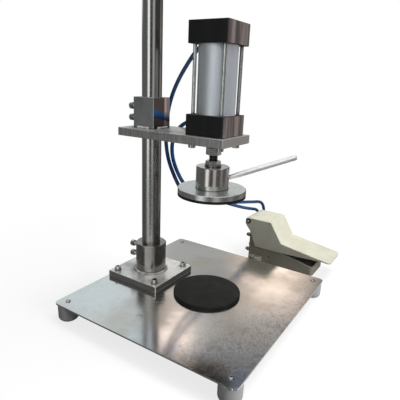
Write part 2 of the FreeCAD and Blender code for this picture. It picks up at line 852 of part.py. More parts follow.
def build_piston():
    piston = new_body("piston")
    groove = "(bore_radius - piston_clearance - seal_depth)"
    face = "(bore_radius - piston_clearance)"
    turned(piston, [
        ("rod_tail_radius", "0"),
        (face, "0"),
        (face, "seal_width"),
        (groove, "seal_width"),
        (groove, "seal_width * 2"),
        (face, "seal_width * 2"),
        (face, "piston_length - seal_width * 2"),
        (groove, "piston_length - seal_width * 2"),
        (groove, "piston_length - seal_width"),
        (face, "piston_length - seal_width"),
        (face, "piston_length"),
        ("rod_tail_radius", "piston_length"),
    ])
    place(node(piston, "piston"), z=f"{PISTON_TOP} - piston_length")
    seal = new_body("piston_seal")
    turned(seal, tube_points(groove, "bore_radius - piston_clearance / 2", "0", "seal_width"))
    low = ("0", "0", f"{PISTON_TOP} - piston_length + seal_width")
    high = ("0", "0", f"{PISTON_TOP} - seal_width * 2")
    copies("piston_seals", seal, [low, high])

    rod = new_body("piston_rod")
    thread_end = f"({BEARING_TOP} - bearing_width - lock_nut_height - rod_end)"
    turned(rod, [
        ("0", thread_end),
        ("rod_thread_radius - thread_lead", thread_end),
        ("rod_thread_radius", f"{thread_end} + thread_lead"),
        ("rod_thread_radius", THREAD_TOP),
        ("rod_radius", f"{THREAD_TOP} + rod_radius - rod_thread_radius"),
        ("rod_radius", f"{PISTON_TOP} - piston_length"),
        ("rod_tail_radius", f"{PISTON_TOP} - piston_length"),
        ("rod_tail_radius", f"{PISTON_TOP} + piston_nut_height"),
        ("0", f"{PISTON_TOP} + piston_nut_height"),
    ])
    node(rod, "piston_rod")
    piston_nut = nut("piston_nut", "piston_nut_width", "piston_nut_height", "rod_tail_radius")
    place(node(piston_nut, "piston_nut"), z=PISTON_TOP)
    jam_nut = nut("jam_nut", "rod_nut_width", "jam_nut_height", "rod_thread_radius")
    place(node(jam_nut, "jam_nut"), z=JAM_NUT_BOTTOM)
    spindle_nut = nut("spindle_nut", "rod_nut_width", "spindle_nut_height", "rod_thread_radius")
    place(node(spindle_nut, "spindle_nut"), z=f"{WASHER_BOTTOM} + washer_thickness")
    washer = new_body("spindle_washer")
    turned(washer, tube_points("rod_thread_radius", "washer_radius", "0", "washer_thickness"))
    place(node(washer, "spindle_washer"), z=WASHER_BOTTOM)

    sleeve = new_body("bearing_sleeve")
    turned(sleeve, [
        ("rod_thread_radius", "-bearing_width"),
        ("bearing_bore", "-bearing_width"),
        ("bearing_bore", "0"),
        ("bearing_bore + sleeve_collar", "0"),
        ("bearing_bore + sleeve_collar", "hub_web + head_clearance"),
        ("rod_thread_radius", "hub_web + head_clearance"),
    ])
    place(node(sleeve, "bearing_sleeve"), z=BEARING_TOP)
    inner = new_body("bearing_inner_ring")
    race = f"({BALL_CIRCLE} - ball_radius - ball_clearance)"
    shoulder = f"({BALL_CIRCLE} - ball_radius * 0.6)"
    turned(inner, [
        ("bearing_bore", "-bearing_width"),
        (shoulder, "-bearing_width"),
        (shoulder, "-bearing_width / 2 - ball_radius * 0.85"),
        (race, "-bearing_width / 2 - ball_radius * 0.45"),
        (race, "-bearing_width / 2 + ball_radius * 0.45"),
        (shoulder, "-bearing_width / 2 + ball_radius * 0.85"),
        (shoulder, "0"),
        ("bearing_bore", "0"),
    ])
    place(node(inner, "bearing_inner_ring"), z=BEARING_TOP)
    lock_nut = nut("lock_nut", "rod_nut_width", "lock_nut_height", "rod_thread_radius")
    place(node(lock_nut, "lock_nut"), z=f"{BEARING_TOP} - bearing_width", turn=UPSIDE_DOWN)


# Press head, which turns on the rod's end

def build_head():
    hub = new_body("press_hub")
    clip_groove = "(hub_height - hub_web - bearing_width - circlip_width)"
    turned(hub, [
        ("bearing_outer", "0"),
        ("hub_radius", "0"),
        ("hub_radius", "hub_height"),
        ("bearing_bore + sleeve_collar + head_clearance", "hub_height"),
        ("bearing_bore + sleeve_collar + head_clearance", "hub_height - hub_web"),
        ("bearing_outer", "hub_height - hub_web"),
        ("bearing_outer", f"{clip_groove} + circlip_width"),
        ("bearing_outer + circlip_seat", f"{clip_groove} + circlip_width"),
        ("bearing_outer + circlip_seat", clip_groove),
        ("bearing_outer", clip_groove),
    ])
    soften(hub, ring_edge("hub_radius", "hub_height"), "hub_edge", "Chamfer")
    tapped = [(x, y, "thread_five") for x, y in press_screws()]
    pocket(hub, circles(hub, "XY_Plane", tapped), "hub_height / 3", reverse=True)
    # the handle's hole starts outside the hub, on the handle's rising axis
    hole = circles(hub, "XY_Plane", [("0", "0", "handle_root")])
    hole.AttachmentOffset = Placement(Vector(), handle_direction())
    for letter, text in zip("xyz", handle_place("handle_root")):
        hole.setExpression(f"AttachmentOffset.Base.{letter}", formula(text))
    pocket(hub, hole, "handle_thread + handle_root")
    place(node(hub, "press_hub"), z=HUB_BOTTOM)

    handle = new_body("turning_handle")
    turned(handle, [
        ("0", "-handle_thread"),
        ("handle_root", "-handle_thread"),
        ("handle_root", "handle_root / 2"),
        ("handle_radius", "handle_neck"),
        ("handle_radius", "handle_length"),
        ("0", "handle_length"),
    ])
    soften(handle, ring_edge("handle_radius", "handle_length"), "handle_radius * 0.7")
    x, y, z = handle_place("0")
    place(node(handle, "turning_handle"), x, y, f"{HUB_BOTTOM} + {z}", handle_direction())

    outer = new_body("bearing_outer_ring")
    race = f"({BALL_CIRCLE} + ball_radius + ball_clearance)"
    shoulder = f"({BALL_CIRCLE} + ball_radius * 0.6)"
    turned(outer, [
        ("bearing_outer", "0"),
        (shoulder, "0"),
        (shoulder, "-bearing_width / 2 + ball_radius * 0.85"),
        (race, "-bearing_width / 2 + ball_radius * 0.45"),
        (race, "-bearing_width / 2 - ball_radius * 0.45"),
        (shoulder, "-bearing_width / 2 - ball_radius * 0.85"),
        (shoulder, "-bearing_width"),
        ("bearing_outer", "-bearing_width"),
    ])
    place(node(outer, "bearing_outer_ring"), z=BEARING_TOP)
    ball = doc.addObject("Part::Sphere", "bearing_ball")
    ball.setExpression("Radius", formula("ball_radius"))
    spots = []
    for index in range(BALLS):
        angle = 2 * math.pi * index / BALLS
        across = [f"{BALL_CIRCLE} * {math.cos(angle):.6f}", f"{BALL_CIRCLE} * {math.sin(angle):.6f}"]
        spots.append((*across, f"{BEARING_TOP} - bearing_width / 2"))
    copies("bearing_balls", ball, spots)
    clip = new_body("bearing_circlip")
    ring = tube_points("bearing_outer - circlip_seat", "bearing_outer + circlip_seat", "0", "circlip_width")
    turned(clip, ring)
    place(node(clip, "bearing_circlip"), z=f"{HUB_BOTTOM} + {clip_groove}")

    disc = new_body("press_disc")
    turned(disc, [
        ("0", "0"),
        ("press_radius", "0"),
        ("press_radius", "press_thickness"),
        ("0", "press_thickness"),
    ])
    soften(disc, level, "sharp_edge", "Chamfer")
    through = [(x, y, "thread_five") for x, y in press_screws()]
    pocket(disc, circles(disc, "XY_Plane", through), "press_thickness", reverse=True)
    for x, y in press_screws():
        sink = disc.newObject("PartDesign::SubtractiveCone", "screw_sink")
        sink.setExpression("Radius1", formula("thread_five * 2"))
        sink.setExpression("Radius2", formula("thread_five"))
        sink.setExpression("Height", formula("thread_five"))
        place(sink, x, y)
    place(node(disc, "press_disc"), z=f"{HUB_BOTTOM} - press_thickness")
    rubber = new_body("press_rubber")
    turned(rubber, [
        ("0", "-rubber_thickness"),
        ("press_radius", "-rubber_thickness"),
        ("press_radius", "0"),
        ("0", "0"),
    ])
    place(node(rubber, "press_rubber"), z=f"{HUB_BOTTOM} - press_thickness")
    screw = sunk_screw("disc_screw", "press_thickness + hub_height / 3 - screw_gap")
    spots = [(x, y, f"{HUB_BOTTOM} - press_thickness", UPSIDE_DOWN) for x, y in press_screws()]
    copies("disc_screws", screw, spots)


def handle_direction():
    """The turn that lays an upright piece along the handle, which rises outwards."""
    heading = Rotation(Vector(0, 0, 1), VALUES["handle_heading"])
    return heading.multiply(Rotation(Vector(0, 1, 0), 90 - VALUES["handle_rise"]))


def handle_place(distance):
    """The point on the handle's axis at a distance from the hub's wall, above the hub's foot."""
    heading = math.radians(VALUES["handle_heading"])
    rise = math.radians(VALUES["handle_rise"])
    out = f"(hub_radius + {distance} * {math.cos(rise):.6f})"
    return (
        f"{out} * {math.cos(heading):.6f}",
        f"{out} * {math.sin(heading):.6f}",
        f"handle_height + {distance} * {math.sin(rise):.6f}",
    )


def press_screws():
    reach = "press_screw_radius"
    return [(reach, "0"), (f"-{reach}", "0"), ("0", reach), ("0", f"-{reach}")]


# Foot valve beside the machine: a tread hinged on a tray that holds the valve

def build_pedal():
    tread = new_body("treadle")
    slope = "((toe_drop - step_drop) / (tread_length - step_setback))"
    under_step = ("-step_setback + tread_wall * 0.6", "-step_drop - tread_wall * 1.05")
    lip = ("-tread_length + toe_lip", f"-toe_drop - tread_wall + toe_lip * {slope}")
    pad(tread, outline(tread, "YZ_Plane", [
        ("ear_radius", "-ear_radius"),
        ("ear_radius", "ear_radius"),
        ("-hump_length", "ear_radius"),
        ("-step_setback", "-step_drop"),
        ("-tread_length", "-toe_drop"),
        ("-tread_length", "-toe_drop - tread_wall"),
        lip,
        ("-step_setback + tread_wall", "-skirt_drop"),
        ("-skirt_heel", "-skirt_drop"),
        ("-cheek_setback", "-cheek_drop"),
    ]), "pedal_width", middle=True)
    soften(tread, across_at("ear_radius"), "ear_radius * 0.9")
    soften(tread, across_at("-hump_length"), "hump_rounding")
    soften(tread, across_at("-step_setback"), "step_rounding")
    soften(tread, lambda edge, point: near(point.y, "-tread_length") and lengthwise(edge, point),
           "toe_corner")
    soften(tread, top_side_edge, "side_rounding")
    pocket(tread, outline(tread, "YZ_Plane", [
        ("ear_radius * 2", "ear_radius - hump_wall"),
        ("-hump_length + tread_wall * 0.6", "ear_radius - hump_wall"),
        under_step,
        lip,
        ("-tread_length + toe_lip", "-pivot_height"),
        ("ear_radius * 2", "-pivot_height"),
    ]), "pedal_width - 2 * skirt_wall", middle=True)
    pin_hole = circles(tread, "YZ_Plane", [("0", "0", "pin_radius + slide_clearance")])
    pocket(tread, pin_hole, "pedal_width + overrun", middle=True)
    # the rib that pushes the spool, with a round nose
    nose = "(ear_radius - hump_wall - pusher_length)"
    pad(tread, outline(tread, "YZ_Plane", [
        ("-spool_setback - pusher_radius", f"{nose} + pusher_radius"),
        ("-spool_setback + pusher_radius", f"{nose} + pusher_radius"),
        ("-spool_setback + pusher_radius", "ear_radius - hump_wall / 2"),
        ("-spool_setback - pusher_radius", "ear_radius - hump_wall / 2"),
    ]), "pusher_width", middle=True)
    tip = circles(tread, "YZ_Plane", [("-spool_setback", f"{nose} + pusher_radius", "pusher_radius")])
    pad(tread, tip, "pusher_width", middle=True)
    place(node(tread, "treadle"), PEDAL_X, PEDAL_Y, PEDAL_Z)

    tray = new_body("pedal_base")
    pad(tray, outline(tray, "YZ_Plane", [
        ("-tray_rear", "-pivot_height"),
        ("-tray_front", "-pivot_height"),
        ("-tray_front", "-pivot_height + tray_front_height"),
        ("-hump_length", "-tray_shoulder"),
        ("-tray_cheek", "-tray_shoulder / 2"),
        ("-tray_ear - pin_radius", "-pin_radius / 2"),
        ("-tray_ear + 1", "tray_ear"),
        ("tray_ear - 1", "tray_ear"),
        ("tray_ear + pin_radius", "pin_radius / 2"),
        ("tray_ear + pin_radius", "-tray_ear"),
        ("-tray_rear", "-tray_ear * 3"),
    ]), TRAY_WIDTH, middle=True)
    soften(tray, lambda edge, point: upright(edge, point) and near(point.y, "-tray_front"), "tray_corner")
    lugs = [(f"{side} * {TRAY_WIDTH} / 2", "-lug_setback", "lug_radius") for side in (-1, 1)]
    pad(tray, circles(tray, "XY_Plane", lugs, "-pivot_height"), "lug_height")
    hollow = outline(tray, "XY_Plane", [
        (f"{TRAY_WIDTH} / 2 - tray_wall", "-tray_front + tray_wall"),
        (f"{TRAY_WIDTH} / 2 - tray_wall", "-tray_rear - tray_wall"),
        (f"-{TRAY_WIDTH} / 2 + tray_wall", "-tray_rear - tray_wall"),
        (f"-{TRAY_WIDTH} / 2 + tray_wall", "-tray_front + tray_wall"),
    ], "tray_floor - pivot_height")
    pocket(tray, hollow, "pivot_height + ear_radius", reverse=True)
    between_ears = outline(tray, "XY_Plane", [
        (f"{TRAY_WIDTH} / 2 - tray_wall", "-tray_cheek * 2"),
        (f"{TRAY_WIDTH} / 2 - tray_wall", "ear_radius * 2"),
        (f"-{TRAY_WIDTH} / 2 + tray_wall", "ear_radius * 2"),
        (f"-{TRAY_WIDTH} / 2 + tray_wall", "-tray_cheek * 2"),
    ], "-rear_wall_drop")
    pocket(tray, between_ears, "pivot_height", reverse=True)
    pocket(tray, circles(tray, "YZ_Plane", [("0", "0", "pin_radius")]), "pedal_width", middle=True)
    side_hole = ("-hump_length", "-pivot_height + tray_front_height - tray_floor", "thread_five")
    pocket(tray, circles(tray, "YZ_Plane", [side_hole]), "pedal_width")
    window = "valve_port_radius + screw_clearance"
    windows = [(x, f"{VALVE_BASE} + {rise}", window) for x, rise in valve_ports()]
    inside = "tray_rear + tray_wall + tread_clearance"
    pocket(tray, circles(tray, "XZ_Plane", windows, inside), "tray_wall + 2 * tread_clearance")
    beside = f"({TRAY_WIDTH} / 2 + lug_radius / 2)"
    holes = [(f"{side} * {beside}", "-lug_setback", "lug_hole_radius") for side in (-1, 1)]
    pocket(tray, circles(tray, "XY_Plane", holes, "-pivot_height"), "lug_height", reverse=True)
    floor_holes = [(x, y, "thread_five") for x, y in valve_screw_centres()]
    pocket(tray, circles(tray, "XY_Plane", floor_holes, "-pivot_height"), "tray_floor", reverse=True)
    for x, y in valve_screw_centres():
        sink = tray.newObject("PartDesign::SubtractiveCone", "valve_screw_sink")
        sink.setExpression("Radius1", formula("thread_five * 2"))
        sink.setExpression("Radius2", formula("thread_five"))
        sink.setExpression("Height", formula("thread_five"))
        place(sink, x, y, "-pivot_height")
    place(node(tray, "pedal_base"), PEDAL_X, PEDAL_Y, PEDAL_Z)

    pin = new_body("pedal_pin")
    length = "(pedal_width + 2 * pin_end)"
    pad(pin, circles(pin, "YZ_Plane", [("0", "0", "pin_radius")]), length, middle=True)
    soften(pin, lengthwise, "pin_radius / 5", "Chamfer")
    place(node(pin, "pedal_pin"), PEDAL_X, PEDAL_Y, PEDAL_Z)
    clip = new_body("pin_clip")
    ring = circles(clip, "YZ_Plane", [("0", "0", "clip_radius"), ("0", "0", "pin_radius")])
    pad(clip, ring, "clip_thickness", middle=True)
    beside = "(pedal_width / 2 + head_clearance + clip_thickness / 2)"
    copies("pin_clips", clip, [(f"{PEDAL_X} + {side} * {beside}", PEDAL_Y, PEDAL_Z) for side in (-1, 1)])


def across_at(depth):
    """A test for the straight edges across the pedal at one depth."""
    return lambda edge, point: near(point.y, depth) and near(edge.BoundBox.XLength, "pedal_width")


def top_side_edge(edge, point):
    """True for the long edges down both sides of the tread's top, and round its toe."""
    step, toe, wall = (VALUES[size] for size in ("step_setback", "tread_length", "tread_wall"))
    sloped = (VALUES["toe_drop"] - VALUES["step_drop"]) / (toe - step)
    top = -VALUES["toe_drop"] + (point.y + toe) * sloped
    on_plate = point.y < -step - wall * 0.75 and abs(point.z - top) < wall * 0.4
    on_step = point.y > -step - wall and point.z > -VALUES["step_drop"] - wall * 0.4
    above = point.y < -VALUES["hump_length"] or point.z > VALUES["ear_radius"] - wall * 0.9
    outside = near(abs(point.x), "pedal_width / 2") or point.y < -toe + wall
    return outside and above and (on_plate or on_step)


def valve_ports():
    """Sideways place and height above the valve's foot: two hoses, the supply and two exhausts."""
    left, right = "-valve_port_offset", "valve_port_offset"
    return [
        (right, "port_high"),
        (right, "port_low"),
        (left, "port_supply"),
        (left, "port_top"),
        (left, "port_bottom"),
    ]


def valve_screw_centres():
    return [(f"{side} * valve_width / 3", "-tray_rear - tray_wall - valve_depth / 2") for side in (-1, 1)]


# Valve inside the pedal, with its spool and return spring

def build_valve():
    valve = new_body("valve_body")
    corners = [
        ("-valve_width / 2", VALVE_FRONT),
        ("valve_width / 2", VALVE_FRONT),
        ("valve_width / 2", "-tray_rear - tray_wall"),
        ("-valve_width / 2", "-tray_rear - tray_wall"),
    ]
    pad(valve, outline(valve, "XY_Plane", corners, VALVE_BASE), "valve_height")
    soften(valve, lambda edge, point: upright(edge, point) and near(point.y, VALVE_FRONT),
           "valve_corner", "Chamfer")
    bore = circles(valve, "XY_Plane", [("0", "-spool_setback", "spool_radius")], VALVE_TOP)
    pocket(valve, bore, "spool_bore_depth")
    back = "(tray_rear + tray_wall)"
    ports = [(x, f"{VALVE_BASE} + {rise}", "valve_port_radius") for x, rise in valve_ports()]
    face = circles(valve, "XZ_Plane", ports, f"{back} + valve_port_depth")
    pocket(valve, face, "valve_port_depth")
    tapped = [(x, y, "thread_five") for x, y in valve_screw_centres()]
    pocket(valve, circles(valve, "XY_Plane", tapped, VALVE_BASE), "thread_five * 5", reverse=True)
    place(node(valve, "valve_body"), PEDAL_X, PEDAL_Y, PEDAL_Z)
    screw = sunk_screw("valve_screw", "tray_floor + thread_five * 4")
    spots = [(f"{PEDAL_X} + {x}", f"{PEDAL_Y} + {y}", FLOOR, UPSIDE_DOWN) for x, y in valve_screw_centres()]
    copies("valve_screws", screw, spots)

    spool = new_body("spool")
    land = "(spool_radius - slide_clearance)"
    groove = "(spool_radius - slide_clearance - seal_groove)"
    points = [
        ("0", "spool_cap_height"),
        ("spool_cap_radius", "spool_cap_height"),
        ("spool_cap_radius", "0"),
        ("spool_stem", "0"),
        ("spool_stem", "-spring_length - spool_sink"),
        (land, "-spring_length - spool_sink"),
    ]
    for height in seal_heights():
        points += [(land, height), (groove, height), (groove, f"{height} - seal_groove"),
                   (land, f"{height} - seal_groove")]
    points += [(land, "-spring_length - spool_sink - spool_length"),
               ("0", "-spring_length - spool_sink - spool_length")]
    turned(spool, points)
    place(node(spool, "spool"), PEDAL_X, f"{PEDAL_Y} - spool_setback", f"{PEDAL_Z} + {SPOOL_CAP_BOTTOM}")
    seal = new_body("spool_seal")
    turned(seal, tube_points(groove, "spool_radius - slide_clearance / 2", "-seal_groove", "0"))
    spots = [
        (PEDAL_X, f"{PEDAL_Y} - spool_setback", f"{PEDAL_Z} + {SPOOL_CAP_BOTTOM} + {height}")
        for height in seal_heights()
    ]
    copies("spool_seals", seal, spots)

    spring = new_body("return_spring")
    wire = circles(spring, "XZ_Plane", [("spring_radius", "0", "spring_wire")])
    coil = spring.newObject("PartDesign::AdditiveHelix", "return_spring_coil")
    coil.Profile = wire
    coil.ReferenceAxis = (wire, ["V_Axis"])
    coil.Mode = "height-turns-growth"
    coil.setExpression("Height", formula("spring_length - 2 * spring_wire"))
    coil.setExpression("Turns", formula("spring_turns"))
    heel = f"{PEDAL_Z} + {VALVE_TOP} + spring_wire"
    place(node(spring, "return_spring"), PEDAL_X, f"{PEDAL_Y} - spool_setback", heel)

    silencer = new_body("silencer")
    turned(silencer, [
        ("0", "-valve_port_depth * 0.8"),
        ("valve_port_radius", "-valve_port_depth * 0.8"),
        ("valve_port_radius", "0"),
        ("silencer_radius * 1.25", "0"),
        ("silencer_radius * 1.25", "silencer_length * 0.22"),
        ("silencer_radius", "silencer_length * 0.22"),
        ("silencer_radius", "silencer_length * 0.8"),
        ("silencer_radius * 0.7", "silencer_length"),
        ("0", "silencer_length"),
    ])
    behind = f"{PEDAL_Y} - tray_rear"
    spots = [
        (f"{PEDAL_X} - valve_port_offset", behind, f"{PEDAL_Z} + {VALVE_BASE} + {rise}", TOWARDS_BACK)
        for rise in ("port_top", "port_bottom")
    ]
    copies("exhaust_silencers", silencer, spots)
    fitting = elbow("valve_fitting", "valve_fitting_hex", "valve_fitting_body", "valve_fitting_turn",
                    "valve_fitting_arm", "valve_port_radius")
    spots = [
        (f"{PEDAL_X} + valve_port_offset", behind, f"{PEDAL_Z} + {VALVE_BASE} + {rise}", TOWARDS_BACK)
        for rise in ("port_high", "port_low")
    ]
    copies("pedal_fittings", fitting, spots)


def seal_heights():
    """The tops of the spool's three seal grooves, below its cap."""
    first = "-spring_length - spool_sink - seal_groove"
    return [first, f"{first} - spool_length * 0.42", f"{first} - spool_length * 0.84"]


# Two air hoses from the cylinder's caps to the foot valve

UPPER_HOSE = [
    (52, 24, 470.5), (52, 48, 470.5), (52.7, 77, 452), (54.3, 101, 424), (56.5, 123, 394),
    (58, 140, 361), (59, 150, 325), (59.5, 154, 291), (60.5, 152.5, 258), (63, 147, 228),
    (66.5, 137, 202), (73, 128, 178),
    (86, 122, 158), (110, 116, 143), (142, 108.5, 132), (180, 97, 122.5), (219, 86, 113), (257, 77, 106),
    (293, 70.5, 99.5), (328, 65, 93), (367, 60, 86), (385.5, 58.5, 68), (391, 58, 42.5), (381, 57, 18.5),
    (359.5, 56, 4), (334, 56, 4),
]
LOWER_HOSE = [
    (52, 24, 322.5), (52, 46, 322.5), (52.5, 69, 322), (53, 92, 317.5), (54.5, 112, 307),
    (56.5, 126.5, 290.5), (59, 136, 270), (62, 138.5, 248), (64.5, 134.5, 226), (67.5, 126, 205),
    (74, 116.5, 184.5), (89, 109, 166),
    (113, 102, 151), (145, 92.5, 138), (182, 82.5, 125), (219, 76, 110.5), (256, 73, 96.5), (292, 71.5, 84),
    (329, 71, 72.5), (369, 70.5, 61), (386.5, 71, 42), (391, 69.5, 16.5), (381, 63.5, -7), (359, 56, -20),
    (334, 56, -20),
]


def build_hose(name, route):
    """A tube of straight runs joined by tangent arcs, as large as the runs allow."""
    points = [Vector(*point) for point in route]
    edges = []
    radii = []
    last = points[0]
    for before, corner, after in zip(points, points[1:], points[2:]):
        come = (corner - before).normalize()
        leave = (after - corner).normalize()
        run = 0.45 * min(corner.distanceToPoint(before), after.distanceToPoint(corner))
        radius = run / math.tan(come.getAngle(leave) / 2)
        inward = (leave - come).normalize()
        start = corner - come * run
        middle = corner + inward * (math.hypot(radius, run) - radius)
        end = corner + leave * run
        edges += [Part.LineSegment(last, start).toShape(), Part.Arc(start, middle, end).toShape()]
        radii.append(radius)
        last = end
    edges.append(Part.LineSegment(last, points[-1]).toShape())
    path = Part.Wire(edges)
    section = Part.Wire(Part.makeCircle(VALUES["hose_radius"], points[0], points[1] - points[0]))
    tube = path.makePipeShell([section], True, True)
    hose = doc.addObject("Part::Feature", name)
    hose.Shape = tube
    node(hose, name)
    volume = math.pi * VALUES["hose_radius"] ** 2 * path.Length
    print(f"{name}: length {path.Length:.0f} mm, smallest radius {min(radii):.0f} mm,",
          f"volume {tube.Volume / volume:.4f} of section times length")


def check_and_write():
    """Stops at any object or shape that failed, then writes each node to its own file."""
    doc.recompute()
    failed = [thing.Label for thing in doc.Objects if "Invalid" in thing.State or "Error" in thing.State]
    if failed:
        raise RuntimeError(f"failed objects: {failed}")
    for name, thing in nodes.items():
        if thing.Shape.isNull() or not thing.Shape.isValid() or not thing.Shape.Solids:
            raise RuntimeError(f"bad shape: {name}")
    os.makedirs("parts", exist_ok=True)
    for name, thing in nodes.items():
        thing.Shape.exportStep(f"parts/{name}.step")
    print(len(nodes), "nodes written")


build_base()
build_column()
build_arm()
build_cylinder()
build_piston()
build_head()
build_pedal()
build_valve()
build_hose("hose_upper", UPPER_HOSE)
build_hose("hose_lower", LOWER_HOSE)
check_and_write()
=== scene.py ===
import json
import math

import bpy
from mathutils import Matrix, Vector


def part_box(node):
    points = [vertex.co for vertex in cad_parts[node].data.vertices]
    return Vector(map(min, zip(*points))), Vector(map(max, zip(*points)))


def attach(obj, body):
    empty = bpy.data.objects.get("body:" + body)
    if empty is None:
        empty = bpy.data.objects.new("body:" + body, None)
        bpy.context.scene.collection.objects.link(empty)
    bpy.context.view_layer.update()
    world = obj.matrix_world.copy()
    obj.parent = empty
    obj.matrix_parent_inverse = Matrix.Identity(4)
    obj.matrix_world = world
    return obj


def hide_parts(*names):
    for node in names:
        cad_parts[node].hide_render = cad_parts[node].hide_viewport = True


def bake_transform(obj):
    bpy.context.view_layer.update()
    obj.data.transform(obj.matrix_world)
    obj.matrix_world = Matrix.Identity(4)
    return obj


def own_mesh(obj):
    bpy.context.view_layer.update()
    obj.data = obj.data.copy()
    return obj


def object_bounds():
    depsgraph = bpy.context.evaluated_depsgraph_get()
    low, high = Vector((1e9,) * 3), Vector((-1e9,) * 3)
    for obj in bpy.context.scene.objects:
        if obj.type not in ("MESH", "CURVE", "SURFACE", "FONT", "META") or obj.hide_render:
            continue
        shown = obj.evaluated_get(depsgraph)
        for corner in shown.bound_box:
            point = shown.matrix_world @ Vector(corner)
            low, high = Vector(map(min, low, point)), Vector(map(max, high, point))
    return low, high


# Lug capping machine: finishes, hoses, threads, spring, weld beads, floor, light and camera.
# Metres, +Z up, the operator stands at -Y. The origin is the centre of the jar pad's top face.
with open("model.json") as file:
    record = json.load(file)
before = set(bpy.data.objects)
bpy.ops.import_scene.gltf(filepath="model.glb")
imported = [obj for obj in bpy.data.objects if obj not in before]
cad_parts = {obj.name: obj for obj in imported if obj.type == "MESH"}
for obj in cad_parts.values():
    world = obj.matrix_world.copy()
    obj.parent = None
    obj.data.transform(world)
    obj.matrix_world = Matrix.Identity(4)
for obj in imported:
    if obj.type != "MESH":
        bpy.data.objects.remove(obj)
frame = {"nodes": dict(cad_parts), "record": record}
cad_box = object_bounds()

MM = 0.001

# Upright axes of the column and of the press, as (x, y).
COLUMN = (0, 0.142)
PRESS = (0, 0)

# Sizes of the solids that the finishes and pieces below follow.
SOCKET_RADIUS = 31.5 * MM
BLOCK_HALF_WIDTH = 25 * MM
CAP_HALF_WIDTH = 37.5 * MM
CAP_HEXAGON = 5.8 * MM
PEDAL_FITTING_FOOT = 16.4 * MM

# Directions that a face can look in: (axis, where the look starts, where it is full).
FRONT = (1, -0.75, -0.95)
BACK = (1, 0.75, 0.95)
LEFT = (0, -0.75, -0.95)
TOP = (2, 0.9, 0.97)

# The camera stands in front and to the left, a little above the arm.
CAMERA_PLACE = (-0.611823, -0.362612, 0.394605)
CAMERA_YAW = -57.672
CAMERA_PITCH = 16.481
CAMERA_ROLL = 2.364
FOCAL_PIXELS = 402.054
FRAME_PIXELS = 400
SENSOR_WIDTH = 36.0

# Routes of the two hoses, from the cylinder's caps to the foot valve, in metres.
UPPER_HOSE = [
    (0.052, 0.024, 0.4705), (0.052, 0.048, 0.4705), (0.0527, 0.077, 0.452), (0.0543, 0.101, 0.424),
    (0.0565, 0.123, 0.394), (0.058, 0.140, 0.361), (0.059, 0.150, 0.325), (0.0595, 0.154, 0.291),
    (0.0605, 0.1525, 0.258), (0.063, 0.147, 0.228), (0.0665, 0.137, 0.202), (0.073, 0.128, 0.178),
    (0.086, 0.122, 0.158), (0.110, 0.116, 0.143), (0.142, 0.1085, 0.132), (0.180, 0.097, 0.1225),
    (0.219, 0.086, 0.113), (0.257, 0.077, 0.106), (0.293, 0.0705, 0.0995), (0.328, 0.065, 0.093),
    (0.367, 0.060, 0.086), (0.3855, 0.0585, 0.068), (0.391, 0.058, 0.0425), (0.381, 0.057, 0.0185),
    (0.3595, 0.056, 0.004), (0.334, 0.056, 0.004),
]
LOWER_HOSE = [
    (0.052, 0.024, 0.3225), (0.052, 0.046, 0.3225), (0.0525, 0.069, 0.322), (0.053, 0.092, 0.3175),
    (0.0545, 0.112, 0.307), (0.0565, 0.1265, 0.2905), (0.059, 0.136, 0.270), (0.062, 0.1385, 0.248),
    (0.0645, 0.1345, 0.226), (0.0675, 0.126, 0.205), (0.074, 0.1165, 0.1845), (0.089, 0.109, 0.166),
    (0.113, 0.102, 0.151), (0.145, 0.0925, 0.138), (0.182, 0.0825, 0.125), (0.219, 0.076, 0.1105),
    (0.256, 0.073, 0.0965), (0.292, 0.0715, 0.084), (0.329, 0.071, 0.0725), (0.369, 0.0705, 0.061),
    (0.3865, 0.071, 0.042), (0.391, 0.0695, 0.0165), (0.381, 0.0635, -0.007), (0.359, 0.056, -0.020),
    (0.334, 0.056, -0.020),
]
HOSE_DIAMETER = 0.008


